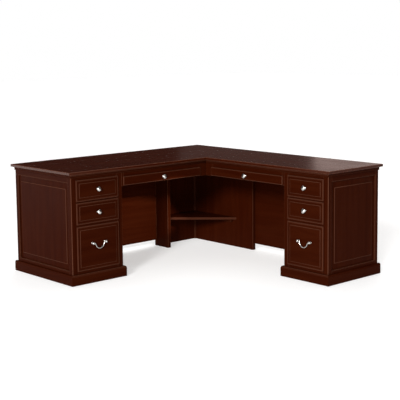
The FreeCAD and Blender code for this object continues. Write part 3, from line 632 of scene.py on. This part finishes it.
# The plinth moulding round the foot of each pedestal: a flat face, a small step and a rounded top, mitred at
# both front corners, with a plain board behind. Solid stained cherry, glued and pinned on.
PLINTH_TOP = 75
PLINTH_OUT = 18
PLINTH_FACE_TOP = 64
PLINTH_STEP = 65
PLINTH_STEP_OUT = 16
PLINTH_ROUND = 7.5
PLINTH_BACK_DROP = 4
PLINTH_SECTION = [
    (0, GLIDE_HEIGHT, 0),
    (PLINTH_OUT, GLIDE_HEIGHT, 1.2),
    (PLINTH_OUT, PLINTH_FACE_TOP, 1.6),
    (PLINTH_STEP_OUT, PLINTH_STEP, 0.6),
    (PLINTH_STEP_OUT, PLINTH_TOP, PLINTH_ROUND),
    (0, PLINTH_TOP, 0),
]

for wing in wings:
    piece = Piece()
    path = [(wing.left, wing.depth), (wing.left, FACE), (wing.right, FACE), (wing.right, wing.depth)]
    moulding(piece, path, PLINTH_SECTION)
    back = wing.depth - BACK_OVERHANG
    behind_top = PLINTH_TOP - PLINTH_BACK_DROP
    piece.add(board(wing.left, wing.right, back, wing.depth, GLIDE_HEIGHT, behind_top))
    piece.finish(
        wing.name + "_plinth_moulding", wing.place, "cabinet", [wing.name + "_plinth"], cherry,
        "cherry_finish")

# The aprons over the kneeholes: a stile at each end and a rail above the drawer, with the boards behind that
# its slides hang on. The two aprons meet at a right angle in the inner corner. Stained cherry.
APRON_DROP = 4
APRON_BOTTOM = KNEEHOLE_BOTTOM - APRON_DROP
HANGER_BOARD = 18

for wing in wings:
    piece = Piece()
    knee = wing.knee
    corner = wing.run + OVERHANG + wing.corner_block
    rail = knee.open_z1
    slide_end = BOX_FRONT + KNEEHOLE_BOX_LENGTH
    for low, high in ((wing.right, knee.open_x0), (knee.open_x1, corner)):
        piece.add(board(low, high, FACE, FRAME_BACK, APRON_BOTTOM, CARCASE_TOP, FRAME_EASE), "z")
    piece.add(board(knee.open_x0, knee.open_x1, FACE, FRAME_BACK, rail, CARCASE_TOP, FRAME_EASE))
    piece.add(board(wing.right, knee.open_x0, FRAME_BACK, slide_end, KNEEHOLE_BOTTOM, rail), "y")
    hanger = knee.open_x1 + HANGER_BOARD
    piece.add(board(knee.open_x1, hanger, FRAME_BACK, slide_end, KNEEHOLE_BOTTOM, CARCASE_TOP), "y")
    piece.finish(wing.name + "_apron", wing.place, "cabinet", ["apron_frame"], cherry, "cherry_finish")

# The modesty panels that close the backs of the kneeholes, held off the floor and notched over the plinth.
# Stained boards with level grain, dowelled to the pedestal and to the corner's boards.
MODESTY_SETBACK = 30
MODESTY_BOTTOM = 50
BARE_EDGE = 0.01

for wing in wings:
    piece = Piece()
    y1 = wing.depth - MODESTY_SETBACK
    y0 = y1 - SIDE_BOARD
    past = wing.right + PLINTH_OUT
    piece.add(board(wing.right, past, y0, y1, PLINTH_TOP, CARCASE_TOP, BARE_EDGE, steps=1))
    piece.add(board(past, wing.modesty_end, y0, y1, MODESTY_BOTTOM, CARCASE_TOP, FRAME_EASE))
    piece.finish(
        wing.name + "_modesty_board", wing.place, "cabinet", [wing.name + "_modesty_panel"], cherry,
        "cherry_finish")

# The open corner under the tops: a narrow gable beside the desk's kneehole, a full-depth gable on the
# return's side and the back panel between them. Thick stained boards with upright grain and eased edges.
PANEL_BACK = 30
THICK_EASE = 1.8
corner_boards = [
    ("narrow_gable", "back_gable", (PANEL_FRONT, gable_end, BACK_GABLE, gable_near)),
    ("deep_gable", "corner_gable", (PANEL_FRONT, desk.depth, PANEL_FRONT, end_near)),
    ("corner_back", "corner_back_panel", (PANEL_BACK, PANEL_FRONT, PANEL_FRONT, gable_near)),
]
for name, node, limits in corner_boards:
    piece = Piece()
    piece.add(board(*limits, GLIDE_HEIGHT, CARCASE_TOP, THICK_EASE, steps=3), "z")
    piece.finish(name, corner_place, "cabinet", [node], cherry, "cherry_finish")

# The triangular shelf in the corner, cut square beside the narrow gable and at 45 degrees across its front,
# and notched for the corner bead. A stained board with a solid edge, on three square cleats.
SHELF_TOP = 236
SHELF_BOARD = 18
SHELF_REACH = 97
SHELF_EDGE_PAINTED_HIGHLIGHT = 0.4
CLEAT = 20
BEAD = 12


def outline_board(points, z0, z1, ease):
    """A board of any outline, drawn as its corners in plan, with its top and bottom edges eased and painted
    as highlights.
    """
    part = new_part()
    part.faces.new([part.verts.new((x, y, z0)) for x, y in points])
    bmesh.ops.translate(part, verts=extruded(part), vec=(0, 0, z1 - z0))
    bmesh.ops.recalc_face_normals(part, faces=part.faces)
    soften(part, [edge for edge in part.edges if not runs_along(edge, Z)], ease, steps=3)
    return part


piece = Piece()
x0, y0, y1 = PANEL_FRONT, end_near, BACK_GABLE
near = x0 + SHELF_REACH
past_x, past_y = x0 + BEAD, y0 + BEAD
slant_end = near + y1 - y0
points = [(past_x, y0), (slant_end, y0), (near, y1), (x0, y1), (x0, past_y), (past_x, past_y)]
shelf = outline_board(points, SHELF_TOP - SHELF_BOARD, SHELF_TOP, THICK_EASE)
# The slanted front edge gets a painted highlight.
for face in shelf.faces:
    if abs(face.normal.x) > 0.5 and abs(face.normal.y) > 0.5:
        face[shelf.faces.layers.float["painted_light"]] = SHELF_EDGE_PAINTED_HIGHLIGHT
piece.add(shelf)
piece.finish("corner_shelf_board", corner_place, "cabinet", ["corner_shelf"], cherry, "cherry_finish")

piece = Piece()
low, high = SHELF_TOP - SHELF_BOARD - CLEAT, SHELF_TOP - SHELF_BOARD
piece.add(board(x0, near, y1 - CLEAT, y1, low, high))
piece.add(board(x0, x0 + CLEAT, y0 + CLEAT, y1 - CLEAT, low, high), "y")
piece.add(board(past_x, slant_end - 2 * CLEAT, y0, y0 + CLEAT, low, high))
piece.finish("corner_cleats", corner_place, "cabinet", ["shelf_cleats"], cherry, "cherry_finish")

# The quarter-round bead in the corner of the boards, as tall as they are. It is a solid strip, stained and
# glued into the corner through the notch of the shelf, with a painted highlight over all of it.
BEAD_PAINTED_HIGHLIGHT = 0.25
piece = Piece()
part = new_part()
rim = part.verts.new((x0 + BEAD, y0, GLIDE_HEIGHT))
bmesh.ops.spin(part, geom=[rim], cent=(x0, y0, 0), axis=(0, 0, 1), angle=math.pi / 2, steps=8)
heel = part.verts.new((x0, y0, GLIDE_HEIGHT))
arc = sorted((vert for vert in part.verts if vert is not heel), key=lambda vert: vert.co.y)
part.faces.new([heel] + arc)
bmesh.ops.translate(part, verts=extruded(part), vec=(0, 0, CARCASE_TOP - GLIDE_HEIGHT))
bmesh.ops.recalc_face_normals(part, faces=part.faces)
# Every face of the bead gets the painted highlight.
for face in part.faces:
    face[part.faces.layers.float["painted_light"]] = BEAD_PAINTED_HIGHLIGHT
piece.add(part, "z")
piece.finish("corner_quarter_round", corner_place, "cabinet", ["corner_bead"], cherry, "cherry_finish")

# The drawer fronts: thick stained boards with a rounded lip over the frame and a tongue in the opening. The
# pedestal's fronts have a sunk band with a fine bead round a flat field. The kneehole's are plain.
FRONT_PROUD = 10
FRONT_FACE = FACE - FRONT_PROUD
MOVING_GAP = 0.4
FRONT_ROUND = 5
FRONT_LIP_PAINTED_HIGHLIGHT = 0.7
# The last number of each step is painted light on its rim: the beads get painted highlight and the sunk
# groove painted shade.
FRONT_STEPS = [
    (3.6, 3.6, 0.0, 0.3),
    (0.8, 0.8, -0.5, 0.8),
    (0.6, 0.6, -2.0, -1.0),
    (13.2, 13.2, 0.0, 0.0),
    (0.7, 0.7, 1.0, -0.6),
    (0.7, 0.7, 1.1, 1.0),
    (0.9, 0.9, 0.5, 1.0),
    (0.9, 0.9, -0.2, 1.0),
    (0.8, 0.8, -0.9, -0.6),
    (1.0, 1.0, 0.8, 0.2),
]

for wing in wings:
    for drawer in wing.drawers + [wing.knee]:
        piece = Piece()
        lip_back = FACE - MOVING_GAP
        slab = board(drawer.x0, drawer.x1, FRONT_FACE, lip_back, drawer.z0, drawer.z1, ease=0)
        rim = edges_where(slab, lambda co: co.y < FRONT_FACE + 1)
        # The lip's rounding gets a painted highlight.
        soften(slab, rim, FRONT_ROUND, steps=5, painted_level=FRONT_LIP_PAINTED_HIGHLIGHT)
        if drawer.level != "kneehole":
            terrace(slab, facing(slab, (0, -1, 0)), FRONT_STEPS)
        piece.add(slab)
        piece.add(board(
            drawer.open_x0 + TONGUE_GAP, drawer.open_x1 - TONGUE_GAP, lip_back, BOX_FRONT,
            drawer.open_z0 + TONGUE_GAP, drawer.open_z1 - TONGUE_GAP, RAIL_EASE))
        piece.finish(
            drawer.body + "_face", wing.place, drawer.body, [drawer.body + "_front"], cherry,
            "cherry_finish")

# The drawer boxes: maple sides with rounded top edges, front and back boards let in between them, and a thin
# bottom in a groove. Clear lacquer over pale wood, screwed to the front from inside.
BOX_BOARD = 12
BOX_BOTTOM = 6
BOX_BOTTOM_RISE = 8
BOX_TOP_ROUND = 4
BOX_EDGE_PAINTED_HIGHLIGHT = 0.3
# With the maple's own colours go its painted shade and painted highlight.
MAPLE = {
    "dark": colour(0.34, 0.20, 0.10),
    "middle": colour(0.50, 0.33, 0.18),
    "light": colour(0.60, 0.43, 0.26),
    "painted_shade": colour(0.22, 0.12, 0.06),
    "painted_highlight": colour(0.58, 0.41, 0.24),
    "tint": colour(1.0, 1.0, 1.0),
}
maple = stained_wood("maple_box", rough=0.42, specular=0.4, **MAPLE)

for wing in wings:
    for drawer in wing.drawers + [wing.knee]:
        piece = Piece()
        x0, x1 = drawer.open_x0 + SLIDE_SPACE, drawer.open_x1 - SLIDE_SPACE
        y0, y1, z0, z1 = BOX_FRONT, drawer.box_end, drawer.box_z0, drawer.box_z1
        in0, in1 = x0 + BOX_BOARD, x1 - BOX_BOARD
        floor = z0 + BOX_BOTTOM_RISE
        for low, high in ((x0, in0), (in1, x1)):
            long_board = board(low, high, y0, y1, z0, z1, ease=0)
            upper = edges_where(long_board, lambda co: co.z > z1 - 1)
            upper = [edge for edge in upper if runs_along(edge, Y)]
            # The rounded top edges get a painted highlight.
            soften(long_board, upper, BOX_TOP_ROUND, steps=4, painted_level=BOX_EDGE_PAINTED_HIGHLIGHT)
            piece.add(long_board, "y")
        piece.add(board(in0, in1, y0, y0 + BOX_BOARD, z0, z1, FRAME_EASE))
        piece.add(board(in0, in1, y1 - BOX_BOARD, y1, z0, z1, FRAME_EASE))
        in_front, in_back = y0 + BOX_BOARD, y1 - BOX_BOARD
        piece.add(board(in0, in1, in_front, in_back, floor, floor + BOX_BOTTOM, ease=0.3, steps=1), "y")
        piece.finish(
            drawer.body + "_maple_box", wing.place, drawer.body, [drawer.body + "_box"], maple,
            "drawer_maple")

# The drawer slides: rolled steel channels, zinc plated. A deep one is screwed to the cabinet and a shallower
# one to the drawer box, each with its edges turned towards the other.
RUNNER_GAP = 0.5
CABINET_RUNNER = 6
DRAWER_RUNNER_HEIGHT = 24
SHEET = 1.3
LIP = 3.5
BEND = 0.35
SCREW_HEAD = 4
SCREW_DEPTH = 1.1
SCREW_STANDS = 0.5
SCREW_EASE = 0.4
SCREWS_ALONG = (0.08, 0.5, 0.92)


def plated_steel(name, bright, rough, fine):
    """Plated metal with a fine tooth and a little uneven shine."""
    nodes = Nodes(name)
    where = nodes.add("TexCoord", {}, {}, "Object")
    patches = nodes.noise(where, scale=35.0, detail=4.0, roughness=0.6)
    tooth = nodes.noise(where, scale=fine, detail=3.0, roughness=0.6)
    dull = colour(*(part * 0.72 for part in bright[:3]))
    shine = rough + (patches - 0.5) * 0.16 + (tooth - 0.5) * 0.08
    return nodes.surface(
        Base_Color=nodes.mix(bright, dull, nodes.span(patches, low=0.35, high=0.75) * 0.6),
        Metallic=1.0, Roughness=shine, Normal=nodes.bump(tooth, strength=0.12, distance=0.0002))


steel = plated_steel("zinc_steel", colour(0.55, 0.56, 0.58), rough=0.36, fine=900.0)


def channel(piece, x, inwards, thick, height, y0, y1, level):
    """A steel channel along y: its back stands at x, and its edges turn inwards."""
    part = new_part()
    half = height / 2
    lower = [
        (0, -half), (thick, -half), (thick, LIP - half), (thick - SHEET, LIP - half),
        (thick - SHEET, SHEET - half), (SHEET, SHEET - half),
    ]
    corners = lower + [(out, -z) for out, z in reversed(lower)]
    part.faces.new([part.verts.new((x + inwards * out, y0, level + z)) for out, z in corners])
    bmesh.ops.translate(part, verts=extruded(part), vec=(0, y1 - y0, 0))
    bmesh.ops.recalc_face_normals(part, faces=part.faces)
    soften(part, [edge for edge in part.edges if runs_along(edge, Y)], BEND, painted_level=0)
    piece.add(part, "y")
    for share in SCREWS_ALONG:
        screw = new_part()
        seat = Vector((x + inwards * (SHEET + SCREW_STANDS), y0 + (y1 - y0) * share, level))
        face_in = Matrix.Rotation(math.pi / 2, 4, "Y")
        bmesh.ops.create_cone(
            screw, cap_ends=True, segments=20, radius1=SCREW_HEAD, radius2=SCREW_HEAD,
            depth=SCREW_DEPTH, matrix=Matrix.Translation(seat) @ face_in)
        soften(screw, [edge for edge in screw.edges if edge.calc_face_angle() > 1], SCREW_EASE, painted_level=0)
        piece.add(screw, "x")


fixed = {wing.name: Piece() for wing in wings}
for wing in wings:
    for drawer in wing.drawers + [wing.knee]:
        reach = (FRAME_BACK + RUNNER_GAP, drawer.box_end, drawer.slide)
        thick = SLIDE_SPACE - CABINET_RUNNER - RUNNER_GAP
        piece = Piece()
        for x, inwards in ((drawer.open_x0, 1), (drawer.open_x1, -1)):
            channel(fixed[wing.name], x, inwards, CABINET_RUNNER, CABINET_RUNNER_HEIGHT, *reach)
            channel(piece, x + inwards * SLIDE_SPACE, -inwards, thick, DRAWER_RUNNER_HEIGHT, *reach)
        piece.finish(
            drawer.body + "_slides", wing.place, drawer.body, [drawer.body + "_runners"], steel,
            "slide_steel")
    fixed[wing.name].finish(
        wing.name + "_cabinet_slides", wing.place, "cabinet", ["cabinet_runners"], steel, "slide_steel")

for slot_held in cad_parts["joining_plates"].material_slots:
    slot_held.material = steel

# The knobs of the shallow drawers: turned mushroom knobs of brushed nickel, each on a small base, held by a
# screw from inside the front.
nickel = plated_steel("brushed_nickel", colour(0.62, 0.60, 0.57), rough=0.30, fine=1500.0)
KNOB_TURNING = [
    (0, 0), (8.6, 0), (9, 0.8), (8.8, 2.0), (6.6, 2.9), (5.4, 4.6), (5.3, 8.0), (6.6, 10.6),
    (10.4, 12.6), (14.3, 14.6), (15.9, 17.2), (15.7, 19.8), (13.4, 22.0), (8.8, 24.4), (4.2, 25.8),
    (0, 26.1),
]


def turned(outline, x, z, steps=28):
    """A part spun from an outline of radius and distance out from a drawer front."""
    part = new_part()
    verts = [part.verts.new((x + radius, FRONT_FACE - out, z)) for radius, out in outline]
    edges = [part.edges.new(pair) for pair in zip(verts, verts[1:])]
    bmesh.ops.spin(
        part, geom=verts + edges, cent=(x, 0, z), axis=(0, 1, 0), angle=2 * math.pi, steps=steps,
        use_merge=True)
    bmesh.ops.remove_doubles(part, verts=part.verts, dist=0.01)
    bmesh.ops.recalc_face_normals(part, faces=part.faces)
    return part


for wing in wings:
    for drawer in wing.drawers + [wing.knee]:
        if drawer.level == "file":
            continue
        piece = Piece()
        piece.add(turned(KNOB_TURNING, drawer.middle_x, drawer.middle_z))
        piece.finish(
            drawer.body + "_turned_knob", wing.place, drawer.body, [drawer.body + "_knob"], nickel,
            "brushed_nickel", smooth_levels=1)

# The bail pulls of the file drawers: a round bar with a pin, an elbow and a sloping arm at each end and a
# round sweep between them. Brushed nickel. It swings freely in two ball posts, screwed on from inside.
BAIL_RISE = 28.5
POST_SPACING = 104
POST_OUT = 13
BALL = 9.5
BAIL_RADIUS = 3.2
ELBOW = 4
ARM_SLOPE = math.radians(64)
BAIL_DROP = 38.5
BORE_PAST = 3
ELBOW_STEPS = 6
SWEEP_STEPS = 15
POST_TURNING = [
    (0, 0), (7.1, 0), (7.5, 0.5), (7.1, 1.3), (5.6, 1.9), (5.0, 3.0), (5.1, 4.6), (6.6, 6.2), (8.5, 8.8),
    (9.5, 13.0), (8.8, 16.6), (6.5, 19.9), (3.0, 22.0), (0, 22.5),
]


def swept(path, radius, sides=16):
    """A round bar along a path of points in one upright plane, square to y."""
    part = new_part()
    rings = []
    for i, point in enumerate(path):
        ahead = (path[min(i + 1, len(path) - 1)] - path[max(i - 1, 0)]).normalized()
        across = ahead.cross(Vector((0, 1, 0)))
        rings.append([
            part.verts.new(point + (across * math.cos(a) + Vector((0, 1, 0)) * math.sin(a)) * radius)
            for a in (2 * math.pi * k / sides for k in range(sides))])
    for ring, following in zip(rings, rings[1:]):
        for k in range(sides):
            part.faces.new((ring[k - 1], ring[k], following[k], following[k - 1]))
    part.faces.new(rings[0])
    part.faces.new(rings[-1])
    bmesh.ops.recalc_face_normals(part, faces=part.faces)
    return part


def bail_path(x, y, z):
    """The middle line of a bail: pin, elbow, arm, sweep, arm, elbow and pin."""
    tip = POST_SPACING / 2 + BORE_PAST - MOVING_GAP
    pin_end = POST_SPACING / 2 - BALL - MOVING_GAP
    sine, cosine = math.sin(ARM_SLOPE), math.cos(ARM_SLOPE)
    sweep = (pin_end * sine - BAIL_DROP * cosine) / (1 - cosine) - ELBOW
    half = [(-tip, 0)]
    for k in range(ELBOW_STEPS + 1):
        angle = ARM_SLOPE * k / ELBOW_STEPS
        half.append((-pin_end + ELBOW * math.sin(angle), ELBOW * (1 - math.cos(angle))))
    for k in range(SWEEP_STEPS):
        angle = ARM_SLOPE * (1 - k / SWEEP_STEPS)
        half.append((-sweep * math.sin(angle), BAIL_DROP - sweep * (1 - math.cos(angle))))
    other = [(-across, down) for across, down in reversed(half)]
    return [Vector((x + across, y, z - down)) for across, down in half + [(0, BAIL_DROP)] + other]


for wing in wings:
    drawer = wing.drawers[-1]
    pivot = drawer.middle_z + BAIL_RISE
    piece = Piece()
    for end in (-1, 1):
        piece.add(turned(POST_TURNING, drawer.middle_x + end * POST_SPACING / 2, pivot))
    piece.finish(
        drawer.body + "_ball_posts", wing.place, drawer.body, [drawer.body + "_bail_posts"], nickel,
        "brushed_nickel", smooth_levels=1)

    piece = Piece()
    piece.add(swept(bail_path(drawer.middle_x, FRONT_FACE - POST_OUT, pivot), BAIL_RADIUS))
    piece.finish(
        wing.name + "_bail_bar", wing.place, wing.name + "_bail", [drawer.body + "_bail"], nickel,
        "brushed_nickel")

# The glides: small discs of hard brown plastic with a rounded lower edge, nailed under the pedestals and the
# gables, near the front and the back.
GLIDE_INSET = 30
GLIDE_RADIUS = 8
GLIDE_ROUND = 0.8
nodes = Nodes("glide_plastic")
speckle = nodes.noise(nodes.add("TexCoord", {}, {}, "Object"), scale=400.0, detail=3.0)
glide_plastic = nodes.surface(
    Base_Color=nodes.mix(colour(0.30, 0.24, 0.20), colour(0.42, 0.34, 0.29), speckle),
    Roughness=0.45 + speckle * 0.15, Normal=nodes.bump(speckle, strength=0.1, distance=0.0002))
piece = Piece()
spots = []
for wing in wings:
    back = wing.depth - BACK_OVERHANG - GLIDE_INSET
    for x in (wing.left + FRAME_BOARD / 2, wing.right - SIDE_BOARD / 2):
        spots += [wing.place @ Vector((x, y, 0)) for y in (FACE + GLIDE_INSET, back)]
for end, gable in ((gable_end, BACK_GABLE), (desk.depth, PANEL_FRONT)):
    for x in (PANEL_FRONT + GLIDE_INSET, end - GLIDE_INSET):
        spots.append(corner_place @ Vector((x, gable + GABLE_BOARD / 2, 0)))
for spot in spots:
    part = new_part()
    bmesh.ops.create_cone(
        part, cap_ends=True, segments=24, radius1=GLIDE_RADIUS * MM, radius2=GLIDE_RADIUS * MM,
        depth=GLIDE_HEIGHT * MM, matrix=Matrix.Translation(spot + Vector((0, 0, GLIDE_HEIGHT / 2 * MM))))
    rims = [edge for edge in part.edges
            if edge.calc_face_angle() > 1 and edge.verts[0].co.z < GLIDE_HEIGHT / 2 * MM]
    soften(part, rims, GLIDE_ROUND * MM, steps=3, painted_level=0)
    piece.add(part)
piece.finish("floor_glides", Matrix.Identity(4), "cabinet", ["glides"], glide_plastic, "glide_plastic")

# The floor, the soft studio light and the camera. The floor is a flat pale sheet that glows a little, so that
# it runs into the white behind it and the shadows on it stay soft and light.
FLOOR_HALF = 30
FLOOR_GLOW = 0.55
nodes = Nodes("studio_floor")
grit = nodes.noise(nodes.add("TexCoord", {}, {}, "Object"), scale=1.5, detail=2.0)
floor_paint = nodes.surface(
    Base_Color=nodes.mix(colour(0.52, 0.52, 0.52), colour(0.54, 0.54, 0.54), grit), Roughness=1.0,
    Specular_IOR_Level=0.0, Emission_Color=colour(1, 0.985, 0.975), Emission_Strength=FLOOR_GLOW)
part = bmesh.new()
bmesh.ops.create_grid(part, x_segments=4, y_segments=4, size=FLOOR_HALF)
shape = bpy.data.meshes.new("studio_floor")
part.to_mesh(shape)
part.free()
shape.materials.append(floor_paint)
studio_floor = bpy.data.objects.new("studio_floor", shape)
bpy.context.scene.collection.objects.link(studio_floor)

# The camera sees a white backdrop, and the desk is lit by a dim room and the lights below.
BACKDROP_STRENGTH = 1.0
ROOM_STRENGTH = 0.015
scene = bpy.context.scene
scene.view_settings.view_transform = "Standard"
world = bpy.data.worlds.new("studio")
scene.world = world
world.use_nodes = True
sky = world.node_tree.nodes
sky.clear()
links = world.node_tree.links
rays, backdrop, room, either, out = (sky.new("ShaderNode" + kind) for kind in (
    "LightPath", "Background", "Background", "MixShader", "OutputWorld"))
for glow, strength in ((backdrop, BACKDROP_STRENGTH), (room, ROOM_STRENGTH)):
    glow.inputs["Color"].default_value = colour(1, 1, 1)
    glow.inputs["Strength"].default_value = strength
links.new(rays.outputs["Is Camera Ray"], either.inputs[0])
links.new(room.outputs[0], either.inputs[1])
links.new(backdrop.outputs[0], either.inputs[2])
links.new(either.outputs[0], out.inputs["Surface"])


def aimed(name, kind, place, target, **settings):
    """A light at a place, turned to a target, hidden from the camera."""
    light = bpy.data.lights.new(name, kind)
    for key, value in settings.items():
        setattr(light, key, value)
    made = bpy.data.objects.new(name, light)
    made.location = place
    made.rotation_mode = "QUATERNION"
    made.rotation_quaternion = (Vector(target) - Vector(place)).to_track_quat("-Z", "Y")
    made.visible_camera = False
    scene.collection.objects.link(made)
    return made


# Three suns light the faces seen from the front, the tops and the backs, and the two areas in front fill the
# shadows. The spot's flat cone reaches the boards of the corner, and the two glows are seen in the tops.
GROUND = (0, 0, 0)
WARM = (1, 0.78, 0.72)
KNEEHOLE_CONE = (1, 0.34, 1)
aimed("key", "SUN", (0.476, -0.809, 0.344), GROUND, energy=3.8, angle=math.radians(12))
aimed("overhead", "SUN", (-0.1, 0.1, 1), GROUND, energy=1.4, angle=math.radians(70))
aimed("front_fill", "AREA", (1.6, -1.5, 0.45), (-0.4, 0.3, 0.4), energy=18, size=1.0)
aimed("left_card", "AREA", (-2.45, -2.6, 0.4), (-0.5, -0.6, 0.4), energy=15, shape="RECTANGLE",
      size=2.2, size_y=0.9)
back_fill = aimed(
    "back_fill", "SUN", (-0.62, 0.74, 0.26), GROUND, energy=2.2, angle=math.radians(40))
back_fill.visible_glossy = False
kneehole_light = aimed(
    "kneehole_light", "SPOT", (0.9, -0.05, 1.0), (-0.9, 0.02, 0.21), energy=230,
    spot_size=math.radians(36), spot_blend=0.35, shadow_soft_size=0.03)
kneehole_light.scale = KNEEHOLE_CONE
aimed("right_glow", "AREA", (-1.1, 3.6, 1.25), (0.6, 0.4, 0.76), energy=4.2, shape="RECTANGLE",
      size=1.5, size_y=1.2, color=WARM)
aimed("left_glow", "AREA", (-3.0, 3.6, 1.25), (-0.2, 0.6, 0.76), energy=0.6, shape="RECTANGLE",
      size=1.7, size_y=1.2, color=WARM)

# The camera stands in front of the inner corner, with its place given from the outer back corner.
LENS = 90.57
SHIFT = -0.1
CAMERA_FROM_CORNER = Vector((6.0661, -5.4693, 1.6088))
TURN, PITCH, ROLL = math.radians(47.814), math.radians(6.796), math.radians(-0.595)
camera = bpy.data.cameras.new("camera")
camera.lens = LENS
camera.shift_y = SHIFT
camera.clip_end = 2 * FLOOR_HALF
viewer = bpy.data.objects.new("camera", camera)
scene.collection.objects.link(viewer)
scene.camera = viewer
viewer.location = CAMERA_FROM_CORNER + Vector((cad_low.x, cad_high.y, 0))
viewer.rotation_mode = "QUATERNION"
look = Vector((
    -math.sin(TURN) * math.cos(PITCH), math.cos(TURN) * math.cos(PITCH), -math.sin(PITCH)))
level_view = look.to_track_quat("-Z", "Y")
viewer.rotation_quaternion = level_view @ Matrix.Rotation(ROLL, 3, "Z").to_quaternion()
